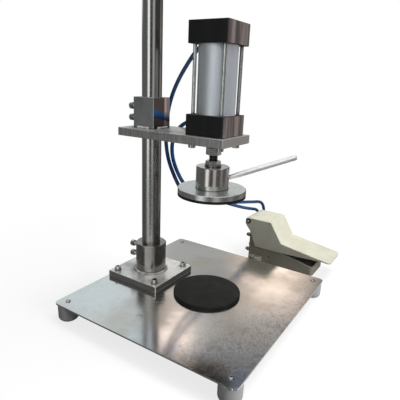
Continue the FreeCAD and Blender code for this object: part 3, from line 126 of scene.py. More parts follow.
class Tree:
    """Short calls for building a node tree."""

    def __init__(self, owner):
        owner.use_nodes = True
        self.nodes = owner.node_tree.nodes
        self.links = owner.node_tree.links
        self.nodes.clear()

    def add(self, kind, inputs, **settings):
        node = self.nodes.new(kind)
        for name, value in settings.items():
            setattr(node, name, value)
        for key, value in inputs.items():
            if isinstance(value, bpy.types.NodeSocket):
                self.links.new(value, node.inputs[key])
            else:
                node.inputs[key].default_value = value
        return node

    def math(self, operation, first, second=0.0):
        return self.add("ShaderNodeMath", {0: first, 1: second}, operation=operation).outputs[0]

    def times(self, first, second):
        return self.math("MULTIPLY", first, second)

    def vector(self, operation, first, second):
        node = self.add("ShaderNodeVectorMath", {0: first, 1: second}, operation=operation)
        return node.outputs["Vector"]

    def mix(self, share, first, second):
        """A colour between two colours, given as sockets or (red, green, blue)."""
        pair = [c if isinstance(c, bpy.types.NodeSocket) else (*c, 1) for c in (first, second)]
        return self.add("ShaderNodeMix", {0: share, 6: pair[0], 7: pair[1]}, data_type="RGBA").outputs[2]

    def remap(self, value, low, high, to_low=0.0, to_high=1.0):
        """The value's place between low and high, eased and held at both ends."""
        inputs = {"Value": value, "From Min": low, "From Max": high, "To Min": to_low, "To Max": to_high}
        return self.add("ShaderNodeMapRange", inputs, interpolation_type="SMOOTHSTEP").outputs[0]

    def vary(self, noise, lowest, highest):
        """A number that follows a noise, which mostly stays between 0.3 and 0.7."""
        return self.remap(noise, 0.3, 0.7, lowest, highest)

    def place(self):
        """The point on the piece, in metres, which moves with it."""
        return self.add("ShaderNodeTexCoord", {}).outputs["Object"]

    def parts(self, vector):
        return self.add("ShaderNodeSeparateXYZ", {0: vector}).outputs

    def join(self, x, y, z):
        return self.add("ShaderNodeCombineXYZ", {0: x, 1: y, 2: z}).outputs[0]

    def around(self, centre):
        """The point as distance, turn and height about an upright axis."""
        x, y, z = self.parts(self.vector("SUBTRACT", self.place(), (*centre, 0)))
        squares = self.math("ADD", self.times(x, x), self.times(y, y))
        return self.join(self.math("SQRT", squares), self.math("ARCTAN2", y, x), z)

    def noise(self, point, pace, detail=3.0):
        """Noise with one pace, or with its own pace along each of the point's directions."""
        paces = pace if isinstance(pace, tuple) else (pace, pace, pace)
        inputs = {"Vector": self.vector("MULTIPLY", point, paces), "Scale": 1.0, "Detail": detail}
        return self.add("ShaderNodeTexNoise", inputs).outputs[0]

    def bump(self, height, depth, strength, edge=0.4 * MM):
        """A relief over edges that catch the light as if they were rounded a little."""
        rounded = self.add("ShaderNodeBevel", {"Radius": edge}, samples=4).outputs[0]
        inputs = {"Height": height, "Distance": depth, "Strength": strength, "Normal": rounded}
        return self.add("ShaderNodeBump", inputs).outputs[0]

    def facing(self, axis, low, high):
        """1 where the surface faces down one of the piece's own directions, 0 elsewhere."""
        normal = self.add("ShaderNodeNewGeometry", {}).outputs["Normal"]
        settings = {"vector_type": "NORMAL", "convert_from": "WORLD", "convert_to": "OBJECT"}
        own = self.add("ShaderNodeVectorTransform", {0: normal}, **settings).outputs[0]
        return self.remap(self.parts(own)[axis], low, high)

    def crease_shaded(self, colour, reach=3.5 * MM):
        """The colour with painted shade: darker in corners and recesses, as ambient occlusion finds them.
        """
        crease_shade = (0.030, 0.029, 0.027)
        clear = self.add("ShaderNodeAmbientOcclusion", {"Distance": reach}, samples=6).outputs["AO"]
        return self.mix(self.remap(clear, 0.35, 0.95, 0.9, 0.0), colour, crease_shade)

    def edges(self, width):
        """1 along the piece's edges, 0 on its faces."""
        rounded = self.add("ShaderNodeBevel", {"Radius": width}, samples=8).outputs[0]
        normal = self.add("ShaderNodeNewGeometry", {}).outputs["Normal"]
        same = self.add("ShaderNodeVectorMath", {0: rounded, 1: normal}, operation="DOT_PRODUCT")
        return self.remap(same.outputs["Value"], 0.99, 0.88)

    def surface(self, colour, roughness, normal, **constants):
        inputs = {"Base Color": colour, "Roughness": roughness, "Normal": normal}
        inputs.update({name.replace("_", " "): value for name, value in constants.items()})
        shader = self.add("ShaderNodeBsdfPrincipled", inputs)
        self.add("ShaderNodeOutputMaterial", {0: shader.outputs[0]})


def new_tree(name):
    material = bpy.data.materials.new(name)
    return material, Tree(material)


# Finishes

def smudge(tree, point, speck):
    """1 on a small broken smudge near the sheet's left edge."""
    middle = (-0.140, 0.052, -0.006)
    outside, inside = 10 * MM, 2 * MM
    far = tree.add("ShaderNodeVectorMath", {0: point, 1: middle}, operation="DISTANCE").outputs["Value"]
    return tree.times(tree.remap(far, outside, inside), tree.remap(speck, 0.42, 0.6))


def pits_and_dark_corner(tree, point):
    """Pits and stains that grow towards the sheet's front left corner, with a painted dark reflection there
    as well.
    """
    x, y = tree.parts(point)[:2]
    first_pits, most_pits = 70 * MM, 190 * MM
    elsewhere = 0.12
    towards = tree.math("SUBTRACT", tree.times(x, -0.35), y)
    corner = tree.remap(towards, first_pits, most_pits, elsewhere, 1.0)
    pits = tree.remap(tree.noise(point, 520, 4), 0.52, 0.60)
    stains = tree.remap(tree.noise(point, 95, 5), 0.50, 0.64)
    return tree.times(corner, tree.math("MAXIMUM", pits, tree.times(stains, 0.5)))


def slanted_scratches(tree, point):
    """Thin scratches that run aslant across the sheet."""
    slant = math.radians(37)
    turned = tree.add("ShaderNodeVectorRotate", {"Vector": point, "Angle": slant}).outputs[0]
    return tree.remap(tree.noise(turned, (25, 1900, 25), 2), 0.66, 0.74)


def polished_sheet():
    """Stainless sheet, polished and rubbed, with scratches, a smudge, a pitted corner that also carries a
    painted dark reflection, and a painted highlight on its front side.
    """
    material, tree = new_tree("polished_sheet")
    point = tree.place()
    cloud = tree.noise(point, 9, 4)
    grain = tree.noise(point, (60, 2600, 60), 2)
    speck = tree.noise(point, 420, 2)
    hair = slanted_scratches(tree, point)
    fresh, rubbed = (0.70, 0.71, 0.72), (0.62, 0.60, 0.57)
    dust, grease, pit = (0.38, 0.35, 0.32), (0.20, 0.17, 0.14), (0.17, 0.15, 0.14)
    front_highlight = (0.95, 0.95, 0.94)
    colour = tree.mix(tree.remap(cloud, 0.42, 0.62), fresh, rubbed)
    colour = tree.mix(tree.times(tree.remap(speck, 0.58, 0.75), 0.35), colour, dust)
    colour = tree.mix(tree.times(smudge(tree, point, speck), 0.5), colour, grease)
    # Pits, stains and a painted dark reflection towards the front left corner.
    colour = tree.mix(tree.times(pits_and_dark_corner(tree, point), 0.72), colour, pit)
    # Painted highlight: the front side is near white and less metallic.
    front = tree.facing(*FRONT)
    colour = tree.mix(front, colour, front_highlight)
    rough = tree.math("ADD", tree.remap(cloud, 0.35, 0.7, 0.13, 0.24), tree.times(hair, 0.12))
    relief = tree.math("ADD", tree.times(grain, 0.5), hair)
    metal = tree.remap(front, 0.0, 1.0, 1.0, 0.3)
    tree.surface(colour, rough, tree.bump(relief, 0.00002, 0.35), Metallic=metal)
    return material


def lathe_steel(name, centre, light, dark, smooth=0.2, coarse=0.34, top=None):
    """Turned steel: rings about an upright axis, dark patches, and another colour on top where asked, which
    is a painted reflection.
    """
    material, tree = new_tree(name)
    point = tree.around(centre)
    rings = tree.noise(point, (2600, 1.2, 2600), 2)
    patch = tree.noise(tree.place(), (28, 28, 9), 4)
    stain = tree.noise(tree.place(), (240, 240, 120), 3)
    stained = (0.25, 0.22, 0.19)
    colour = tree.mix(tree.remap(patch, 0.38, 0.66), light, dark)
    if top:
        # Painted reflection: another colour on faces that look up.
        colour = tree.mix(tree.facing(*TOP), colour, top)
    colour = tree.mix(tree.times(tree.remap(stain, 0.6, 0.78), 0.4), colour, stained)
    rough = tree.vary(rings, smooth, coarse)
    # Painted shade in corners and recesses.
    tree.surface(tree.crease_shaded(colour), rough, tree.bump(rings, 0.00001, 0.3), Metallic=0.9)
    return material


def ground_column():
    """Polished column: fine scratches down its length and round it, darker and duller towards its foot."""
    material, tree = new_tree("ground_column")
    point = tree.around(COLUMN)
    down = tree.noise(point, (200, 60, 3), 3)
    rings = tree.noise(point, (500, 2, 1500), 2)
    pits = tree.noise(tree.place(), (300, 300, 60), 3)
    light, dark = (0.66, 0.66, 0.65), (0.52, 0.52, 0.50)
    low_tone, pit = (0.26, 0.26, 0.25), (0.2, 0.18, 0.16)
    bright_above, dull_below = 0.34, 0.16
    # Darker and rougher towards the foot.
    dull = tree.remap(tree.parts(tree.place())[2], bright_above, dull_below, 0.0, 0.6)
    colour = tree.mix(tree.remap(down, 0.35, 0.7), light, dark)
    colour = tree.mix(dull, colour, low_tone)
    colour = tree.mix(tree.times(tree.remap(pits, 0.64, 0.78), 0.5), colour, pit)
    rough = tree.math("ADD", tree.vary(rings, 0.12, 0.2), tree.times(dull, 0.22))
    tree.surface(colour, rough, tree.bump(tree.math("ADD", rings, down), 0.00001, 0.3), Metallic=1.0)
    return material


def milled_steel(name, pace, light=(0.62, 0.62, 0.60), dark=(0.48, 0.48, 0.46), smooth=0.24, coarse=0.42,
                 metallic=0.75, front=None, left=None, wear_and_highlight=0.0):
    """Milled steel with cutter marks. Where asked, its front and left side take darker colours as painted
    shade, and its edges a painted highlight."""
    material, tree = new_tree(name)
    point = tree.place()
    marks = tree.noise(point, pace, 3)
    patch = tree.noise(point, (35, 35, 60), 4)
    spots = tree.noise(point, 500, 2)
    stained, dirt_and_shade, edge_highlight = (0.36, 0.34, 0.31), (0.20, 0.18, 0.16), (1.0, 0.99, 0.96)
    colour = tree.mix(tree.remap(marks, 0.32, 0.68), light, dark)
    colour = tree.mix(tree.times(tree.remap(patch, 0.5, 0.7), 0.4), colour, stained)
    colour = tree.mix(tree.times(tree.remap(spots, 0.64, 0.76), 0.4), colour, dirt_and_shade)
    # Painted shade: darker colours on the front and left side where asked.
    if front:
        colour = tree.mix(tree.facing(*FRONT), colour, front)
    if left:
        colour = tree.mix(tree.facing(*LEFT), colour, left)
    # Painted shade in corners and recesses.
    colour = tree.crease_shaded(colour)
    # Painted highlight along the edges.
    if wear_and_highlight:
        colour = tree.mix(tree.times(tree.edges(1.2 * MM), wear_and_highlight), colour, edge_highlight)
    rough = tree.vary(patch, smooth, coarse)
    tree.surface(colour, rough, tree.bump(marks, 0.00004, 0.4), Metallic=metallic)
    return material


def clamp_block_steel():
    """The clamp block: matte ground sides, its polished front dark with painted reflections: brown to the
    left, silver to the right, a pink and a blue streak, and black low down.
    """
    material, tree = new_tree("clamp_block_steel")
    point = tree.place()
    marks = tree.noise(point, (90, 2400, 40), 3)
    patch = tree.noise(point, (60, 60, 40), 4)
    front = tree.facing(*FRONT)
    places = tree.parts(point)
    x, z = places[0], places[2]
    ground, ground_dark = (0.46, 0.48, 0.47), (0.36, 0.37, 0.36)
    brown, silver, black = (0.19, 0.165, 0.155), (0.52, 0.50, 0.50), (0.04, 0.04, 0.04)
    pink, blue = (0.98, 0.86, 0.84), (0.010, 0.11, 0.36)
    matte = tree.mix(tree.remap(patch, 0.35, 0.7), ground, ground_dark)
    upright = tree.times(tree.remap(x, 5 * MM, 9 * MM), tree.remap(x, 15 * MM, 12 * MM))
    slope = tree.math("ADD", z, tree.times(x, 0.23))
    away = tree.math("ABSOLUTE", tree.math("SUBTRACT", slope, 330 * MM))
    fading = tree.remap(x, 22 * MM, -12 * MM, 0.2, 0.95)
    slanting = tree.times(tree.remap(away, 9.5 * MM, 3 * MM), fading)
    # Painted reflections on the polished front: brown, silver, a pink streak, black low down and the hose's
    # blue streak.
    front_reflections = tree.mix(tree.remap(x, 4 * MM, 10 * MM), brown, silver)
    front_reflections = tree.mix(upright, front_reflections, pink)
    front_reflections = tree.mix(tree.remap(z, 338 * MM, 320 * MM, 0.0, 0.75), front_reflections, black)
    front_reflections = tree.mix(slanting, front_reflections, blue)
    # Painted shade in corners and recesses.
    colour = tree.crease_shaded(tree.mix(front, matte, front_reflections))
    rough = tree.add("ShaderNodeMix", {0: front, 2: 0.42, 3: 0.12}, data_type="FLOAT").outputs[0]
    # Less metallic under the blue streak, so that the painted reflection shows.
    metal = tree.remap(tree.times(front, slanting), 0.0, 1.0, 0.95, 0.3)
    tree.surface(colour, rough, tree.bump(marks, 0.00002, 0.3), Metallic=metal)
    return material


def plain_metal(name, colour, wear_and_highlight, smooth, coarse, pace=600, depth=0.004 * MM, metallic=0.92):
    """Small metal pieces: a light grain, worn patches, and painted shade in their corners and recesses."""
    material, tree = new_tree(name)
    point = tree.place()
    grain = tree.noise(point, pace, 3)
    patch = tree.noise(point, 70, 3)
    shade = tree.crease_shaded(tree.mix(tree.remap(patch, 0.45, 0.72), colour, wear_and_highlight), 8 * MM)
    rough = tree.vary(grain, smooth, coarse)
    tree.surface(shade, rough, tree.bump(grain, depth, 0.4), Metallic=metallic)
    return material


def threaded_rod():
    """Hard chrome above, and a dark oiled thread with a painted highlight along its crests."""
    material, tree = new_tree("rod_steel")
    out = tree.parts(tree.around(PRESS))[0]
    grain = tree.noise(tree.place(), (900, 900, 2600), 3)
    oiled, crest, chrome = (0.03, 0.028, 0.026), (0.26, 0.25, 0.24), (0.72, 0.72, 0.73)
    # Painted highlight on the thread's crests.
    thread = tree.mix(tree.remap(out, 7.4 * MM, 8 * MM), oiled, crest)
    colour = tree.mix(tree.remap(out, 8.2 * MM, 9.5 * MM), thread, chrome)
    rough = tree.vary(grain, 0.12, 0.2)
    tree.surface(colour, rough, tree.bump(grain, 0.000004, 0.4), Metallic=0.95)
    return material


def weld_steel():
    """Brushed weld metal with straw heat colours and dark specks."""
    material, tree = new_tree("weld_steel")
    point = tree.place()
    lumps = tree.noise(point, 500, 4)
    heat = tree.noise(point, 130, 2)
    brushed, straw, slag = (0.74, 0.73, 0.71), (0.50, 0.46, 0.41), (0.12, 0.11, 0.10)
    colour = tree.mix(tree.remap(heat, 0.4, 0.6), brushed, straw)
    colour = tree.mix(tree.times(tree.remap(lumps, 0.58, 0.72), 0.6), colour, slag)
    rough = tree.vary(lumps, 0.25, 0.45)
    # Painted shade in corners and recesses.
    tree.surface(tree.crease_shaded(colour), rough, tree.bump(lumps, 0.0002, 0.5), Metallic=0.7)
    return material


def satin_tube():
    """Satin anodised tube with faint lines down its length."""
    material, tree = new_tree("satin_aluminium")
    point = tree.around(PRESS)
    lines = tree.noise(point, (50, 90, 6), 3)
    cloud = tree.noise(tree.place(), (30, 30, 16), 3)
    light, dark = (0.84, 0.89, 0.94), (0.78, 0.83, 0.87)
    colour = tree.mix(tree.remap(lines, 0.3, 0.7), light, dark)
    rough = tree.vary(cloud, 0.46, 0.56)
    tree.surface(colour, rough, tree.bump(lines, 0.00002, 0.3), Metallic=0.72)
    return material


def black_anodised():
    """Smooth black anodised caps, with faintly brown upright streaks on their milled front and back that
    are partly milling marks and partly a painted reflection.
    """
    material, tree = new_tree("black_anodised")
    point = tree.place()
    streaks = tree.noise(point, (150, 150, 5), 4)
    fine = tree.noise(point, (1800, 1800, 60), 2)
    black, dark_brown, brown = (0.012, 0.012, 0.013), (0.055, 0.048, 0.047), (0.19, 0.155, 0.145)
    # The brown streaks stand partly for milling marks and partly for a painted reflection.
    milled = tree.math("MAXIMUM", tree.facing(*FRONT), tree.facing(*BACK))
    colour = tree.mix(milled, black, tree.mix(tree.remap(streaks, 0.32, 0.66), dark_brown, brown))
    rough = tree.vary(streaks, 0.36, 0.46)
    tree.surface(colour, rough, tree.bump(fine, 0.00001, 0.3), Specular_IOR_Level=0.4)
    return material


def ivory_paint(name="ivory_paint", light=(0.69, 0.69, 0.565), dull=(0.63, 0.60, 0.49)):
    """Smooth cream paint over a casting, with painted shade that darkens it where it is low and on its left
    side, and a painted highlight along its edges.
    """
    material, tree = new_tree(name)
    point = tree.place()
    peel = tree.noise(point, 260, 3)
    cloud = tree.noise(point, 22, 4)
    blotches = tree.noise(point, 90, 4)
    dirt_and_shade, shaded, rubbed = (0.36, 0.33, 0.26), (0.12, 0.11, 0.08), (0.88, 0.88, 0.78)
    # Painted shade: darker towards the bottom, broken up by a noise.
    unshaded_above, shaded_below = 30 * MM, -40 * MM
    height = tree.remap(tree.parts(point)[2], unshaded_above, shaded_below)
    low_shade = tree.times(height, tree.remap(blotches, 0.35, 0.7))
    colour = tree.mix(tree.remap(cloud, 0.35, 0.68), light, dull)
    colour = tree.mix(tree.times(low_shade, 0.35), colour, dirt_and_shade)
    # Painted shade on the faces that look left.
    colour = tree.mix(tree.times(tree.facing(*LEFT), 0.25), colour, shaded)
    # Painted highlight along the edges.
    colour = tree.mix(tree.times(tree.edges(1.8 * MM), 0.6), colour, rubbed)
    rough = tree.vary(blotches, 0.34, 0.5)
    relief = tree.bump(peel, 0.00008, 0.25, 0.8 * MM)
    tree.surface(colour, rough, relief, Coat_Weight=0.1, Coat_Roughness=0.25)
    return material


def rubber(name, colour, dusty, smooth, coarse, depth=0.12 * MM):
    """Moulded rubber with a fine skin and some dust."""
    material, tree = new_tree(name)
    point = tree.place()
    skin = tree.noise(point, 900, 3)
    dust = tree.noise(point, 45, 5)
    shade = tree.mix(tree.remap(dust, 0.4, 0.72), colour, dusty)
    rough = tree.vary(skin, smooth, coarse)
    tree.surface(shade, rough, tree.bump(skin, depth, 0.4), Specular_IOR_Level=0.25)
    return material


def moulded_plastic(name="black_plastic", axis=0, wall=-1.0):
    """Black push-in fittings, their hexagon of nickel up to a wall across one axis."""
    material, tree = new_tree(name)
    point = tree.place()
    skin = tree.noise(point, 1100, 2)
    wear_and_highlight = tree.noise(point, 160, 3)
    black, scuffed, nickel = (0.022, 0.022, 0.025), (0.05, 0.05, 0.055), (0.60, 0.58, 0.52)
    colour = tree.mix(tree.remap(wear_and_highlight, 0.4, 0.7), black, scuffed)
    hexagon = tree.remap(tree.parts(point)[axis], wall + 0.1 * MM, wall - 0.1 * MM)
    colour = tree.mix(hexagon, colour, nickel)
    rough = tree.vary(skin, 0.32, 0.5)
    tree.surface(colour, rough, tree.bump(skin, 0.00003, 0.3), Specular_IOR_Level=0.5, Metallic=hexagon)
    return material


def blue_hose():
    """Dark blue polyurethane hose, slightly cloudy and scuffed."""
    material, tree = new_tree("blue_hose")
    point = tree.place()
    cloud = tree.noise(point, 60, 3)
    scuff = tree.noise(point, (700, 700, 240), 3)
    light, dark = (0.010, 0.085, 0.26), (0.008, 0.050, 0.17)
    colour = tree.mix(tree.remap(cloud, 0.35, 0.65), light, dark)
    rough = tree.vary(scuff, 0.16, 0.3)
    tree.surface(colour, rough, tree.bump(scuff, 0.00002, 0.3), Coat_Weight=0.3, Coat_Roughness=0.12)
    return material


def finishes():
    """One material for each slot."""
    return {
        "polished_sheet": polished_sheet(),
        "turned_steel": lathe_steel("turned_steel", PRESS, (0.66, 0.65, 0.63), (0.52, 0.49, 0.46)),
        "milled_steel": milled_steel("milled_steel", (420, 420, 30)),
        "weld_steel": weld_steel(),
        "bright_screw": plain_metal("bright_screw", (0.58, 0.58, 0.57), (0.30, 0.29, 0.28), 0.14, 0.24),
        "zinc_steel": plain_metal("zinc_steel", (0.76, 0.78, 0.76), (0.60, 0.60, 0.57), 0.16, 0.26),
        "black_steel": plain_metal("black_steel", (0.05, 0.05, 0.05), (0.02, 0.02, 0.02), 0.3, 0.45),
        "chromed_rod": plain_metal(
            "chromed_rod", (0.72, 0.72, 0.73), (0.6, 0.6, 0.6), 0.08, 0.16, pace=(900, 900, 2600)),
        "bearing_steel": plain_metal("bearing_steel", (0.66, 0.66, 0.67), (0.5, 0.5, 0.5), 0.08, 0.16),
        "bearing_bronze": plain_metal(
            "bearing_bronze", (0.60, 0.42, 0.20), (0.42, 0.28, 0.13), 0.22, 0.36),
        "sintered_bronze": plain_metal(
            "sintered_bronze", (0.30, 0.25, 0.18), (0.16, 0.13, 0.09), 0.5, 0.7, pace=1500, depth=0.2 * MM),
        "satin_aluminium": satin_tube(),
        "aluminium_block": plain_metal(
            "aluminium_block", (0.68, 0.69, 0.70), (0.50, 0.49, 0.47), 0.28, 0.42, pace=(60, 60, 1800)),
        "black_anodised": black_anodised(),
        "ivory_paint": ivory_paint(),
        "black_rubber": rubber(
            "black_rubber", (0.008, 0.008, 0.007), (0.016, 0.016, 0.014), 0.5, 0.68, depth=0.06 * MM),
        "grey_rubber": rubber("grey_rubber", (0.50, 0.505, 0.51), (0.44, 0.445, 0.45), 0.5, 0.65),
        "black_plastic": moulded_plastic(),
        "blue_hose": blue_hose(),
    }


def dress_nodes(looks):
    """Gives each CAD node its slot's finish, or the version made for that piece."""
    pedal_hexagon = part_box("pedal_fittings")[0].y + PEDAL_FITTING_FOOT
    own = {
        "column": ground_column(),
        "column_socket": lathe_steel(
            "socket_steel", COLUMN, (0.34, 0.33, 0.31), (0.22, 0.21, 0.19), smooth=0.12, coarse=0.2),
        "press_hub": lathe_steel(
            "hub_steel", PRESS, (0.62, 0.61, 0.60), (0.50, 0.47, 0.44), smooth=0.12, coarse=0.2),
        # The disc's light, bluish top is a painted reflection.
        "press_disc": lathe_steel(
            "disc_steel", PRESS, (0.62, 0.62, 0.61), (0.50, 0.50, 0.49), smooth=0.2, coarse=0.32,
            top=(0.80, 0.87, 0.88)),
        "turning_handle": plain_metal(
            "handle_steel", (0.86, 0.86, 0.85), (0.78, 0.77, 0.75), 0.34, 0.42, metallic=0.6),
        "clamp_block": clamp_block_steel(),
        # The arm's darker front is painted shade.
        "arm_plate": milled_steel(
            "arm_steel", (520, 520, 18), light=(0.70, 0.70, 0.68), metallic=0.62, front=(0.40, 0.39, 0.37)),
        # The flange's near-white top is a painted highlight, its dark front and left are painted shade, and
        # its bright edges a painted highlight.
        "flange_plate": milled_steel(
            "flange_steel", (60, 700, 60), light=(1.0, 1.0, 0.97), dark=(0.74, 0.73, 0.70), smooth=0.14,
            coarse=0.26, metallic=0.4, front=(0.10, 0.10, 0.09), left=(0.30, 0.29, 0.27), wear_and_highlight=0.9),
        "cylinder_fittings": moulded_plastic("cap_fitting", 0, CAP_HALF_WIDTH + CAP_HEXAGON),
        # The tray's darker copy of the cream paint is painted shade, where it sits recessed under the
        # tread.
        "pedal_base": ivory_paint("shaded_tray_paint", (0.33, 0.31, 0.245), (0.24, 0.225, 0.175)),
        "pedal_fittings": moulded_plastic("pedal_fitting", 1, pedal_hexagon),
    }
    slots = {part["node"]: part["material_slot"] for part in frame["record"]["subparts"]}
    for name, thing in frame["nodes"].items():
        look = own.get(name, looks[slots[name]])
        thing.data.materials.clear()
        thing.data.materials.append(look)


# Modelled pieces

def new_piece(name, points, faces, look):
    mesh = bpy.data.meshes.new(name)
    mesh.from_pydata(points, [], faces)
    mesh.materials.append(look)
    for face in mesh.polygons:
        face.use_smooth = True
    thing = bpy.data.objects.new(name, mesh)
    bpy.context.scene.collection.objects.link(thing)
    return thing


def skin_faces(rows, around):
    """Quads over closed rows of points, each row with the same count round it."""
    faces = []
    for row in range(rows - 1):
        for step in range(around):
            after = (step + 1) % around
            faces.append((
                row * around + step, row * around + after,
                (row + 1) * around + after, (row + 1) * around + step,
            ))
    return faces


def hose_curve(name, route):
    """The route's smooth line, as a spline that the points pull towards themselves."""
    curve = bpy.data.curves.new(name, "CURVE")
    curve.dimensions = "3D"
    curve.resolution_u = 16
    spline = curve.splines.new("NURBS")
    spline.points.add(len(route) - 1)
    for point, place in zip(spline.points, route):
        point.co = (*place, 1)
    spline.order_u = 3
    spline.use_endpoint_u = True
    return bpy.data.objects.new(name, curve)


def add_hose(name, route, look):
    """A hose: a round tube along the route's smooth line, in place of the solid of the same name."""
    line = hose_curve(name + "_line", route)
    bpy.context.scene.collection.objects.link(line)
    bpy.context.view_layer.update()
    path = [tuple(vertex.co) for vertex in bpy.data.meshes.new_from_object(line).vertices]
    line.data.bevel_depth = HOSE_DIAMETER / 2
    line.data.bevel_resolution = 6
    line.data.use_fill_caps = True
    bpy.context.view_layer.update()
    graph = bpy.context.evaluated_depsgraph_get()
    mesh = bpy.data.meshes.new_from_object(line.evaluated_get(graph))
    bpy.data.objects.remove(line)
    mesh.materials.clear()
    mesh.materials.append(look)
    for face in mesh.polygons:
        face.use_smooth = True
    hose = bpy.data.objects.new(name + "_tube", mesh)
    bpy.context.scene.collection.objects.link(hose)
    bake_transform(hose)
    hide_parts(name)


def thread_wave(share):
    """A thread's depth along one pitch, from 0 at its flat crest to 1 at its flat root."""
    steepness = 1.5
    crest = 0.2
    return min(1.0, max(0.0, abs(2 * (share % 1.0) - 1) * steepness - crest))


def threaded_sleeve(name, foot, length, radius, pitch, body, look):
    """A thread over a plain shank that runs along +Y: its crests stand just outside the shank."""
    around = 40
    per_pitch = 8
    depth = 0.35 * MM
    rows = int(length / pitch * per_pitch) + 1
    turn = Vector((0, 0, 1)).rotation_difference(Vector((0, 1, 0)))
    points = []
    for row in range(rows):
        along = length * row / (rows - 1)
        fade = min(1.0, row / per_pitch, (rows - 1 - row) / per_pitch)
        for step in range(around):
            angle = 2 * math.pi * step / around
            wave = 1 - thread_wave(along / pitch - step / around)
            out = radius + depth * wave * fade
            offset = Vector((out * math.cos(angle), out * math.sin(angle), along))
            points.append(Vector(foot) + turn @ offset)
    thing = new_piece(name, points, skin_faces(rows, around), look)
    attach(thing, body)


def add_threads(looks):
    """Threads that show: the clamping screws' shanks between their heads and the socket or block."""
    shank = 4.02 * MM
    pitch = 1.25 * MM
    head_radius = 6.5 * MM
    head_height = 8 * MM
    for node, wall, body in (
        ("socket_screws", COLUMN[1] + SOCKET_RADIUS, "base"),
        ("block_screws", COLUMN[1] + BLOCK_HALF_WIDTH, "arm"),
    ):
        low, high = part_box(node)
        length = high.y - head_height - wall
        for index, height in enumerate((low.z + head_radius, high.z - head_radius)):
            name = f"{node}_thread_{index + 1}"
            threaded_sleeve(name, (0, wall, height), length, shank, pitch, body, looks["bright_screw"])


def add_rod():
    """The piston rod with its thread cut into it, in place of the plain solid."""
    low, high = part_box("piston_rod")
    around = 64
    per_pitch = 10
    pitch = 2 * MM
    crest = 8 * MM
    root = 6.8 * MM
    chamfer = 1 * MM
    nose = 6.6 * MM
    shank = 10 * MM
    stud = 6 * MM
    middle = 0.1 * MM
    thread_spare = 1 * MM
    thread_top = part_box("jam_nut")[1].z + thread_spare
    piston_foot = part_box("piston")[0].z
    points = []

    def ring(height, radius_at):
        for step in range(around):
            angle = 2 * math.pi * step / around
            out = radius_at(step / around)
            points.append((out * math.cos(angle), out * math.sin(angle), height))

    ring(low.z, lambda share: middle)
    ring(low.z, lambda share: nose)
    count = int((thread_top - low.z) / pitch * per_pitch)
    for index in range(count + 1):
        height = low.z + chamfer + (thread_top - low.z - chamfer) * index / count
        fade = min(1.0, index / per_pitch, (count - index) / per_pitch)
        ring(height, lambda share: crest - (crest - root) * fade * thread_wave(height / pitch - share))
    # Above the thread: a shoulder, the shank up to the piston, and the stud through it.
    for height, radius in (
        (thread_top + 0.2 * MM, crest + 0.1 * MM), (thread_top + 2 * MM, shank - 0.1 * MM),
        (thread_top + 2.3 * MM, shank), (piston_foot, shank), (piston_foot, stud), (high.z, stud),
        (high.z, middle),
    ):
        ring(height, lambda share: radius)
    faces = skin_faces(len(points) // around, around)
    thing = new_piece("piston_rod_threaded", points, faces, threaded_rod())
    thing.data.set_sharp_from_angle(angle=math.radians(40))
    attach(thing, "rod")
    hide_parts("piston_rod")


def add_spring():
    """The foot valve's spring: a copy of its solid with a mesh of its own, on the base, in place of the
    solid.
    """
    solid = frame["nodes"]["return_spring"]
    thing = bpy.data.objects.new("return_spring_coil", solid.data.copy())
    bpy.context.scene.collection.objects.link(thing)
    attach(thing, "base")
    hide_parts("return_spring")
    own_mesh(thing)


def weld_section(leg, along, wobble):
    """Points of a rippled quarter round bead, from the wall round to the plate."""
    steps = 9
    ripple_length = 2.1 * MM
    wander_length = 7 * MM
    points = [(0.0, 0.0)]
    for step in range(steps):
        angle = math.pi / 2 * step / (steps - 1)
        ripple = math.sin(2 * math.pi * (along / ripple_length + 0.35 * math.sin(2 * angle)) + wobble)
        wander = math.sin(along / wander_length + wobble)
        out = leg * (0.86 + 0.07 * ripple + 0.07 * wander)
        points.append((out * math.cos(angle), out * math.sin(angle)))
    return points


def add_weld(name, node, place_at, length, closed, body, looks):
    """A bead along a path: place_at gives (corner point, outward direction) at a distance along it."""
    leg = 4.5 * MM
    row_gap = 0.35 * MM
    taper = 3 * MM
    blunt = 0.08
    rows = int(length / row_gap) + 1
    points = []
    for row in range(rows):
        along = length * row / (rows if closed else rows - 1)
        ends = 1.0 if closed else min(1.0, (blunt + min(along, length - along) / taper) ** 0.5)
        corner, outward = place_at(along)
        for out, up in weld_section(leg * ends, along, len(name)):
            points.append(corner + outward * out + Vector((0, 0, up)))
    around = len(points) // rows
    faces = skin_faces(rows, around)
    if closed:
        last = (rows - 1) * around
        for step in range(around):
            after = (step + 1) % around
            faces.append((last + step, last + after, after, step))
    else:
        faces.append(tuple(range(around)))
        faces.append(tuple(reversed(range((rows - 1) * around, rows * around))))
    thing = new_piece(name, points, faces, looks["weld_steel"])
    thing.data.set_sharp_from_angle(angle=math.radians(50))
    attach(thing, body)
    if node:
        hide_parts(node)


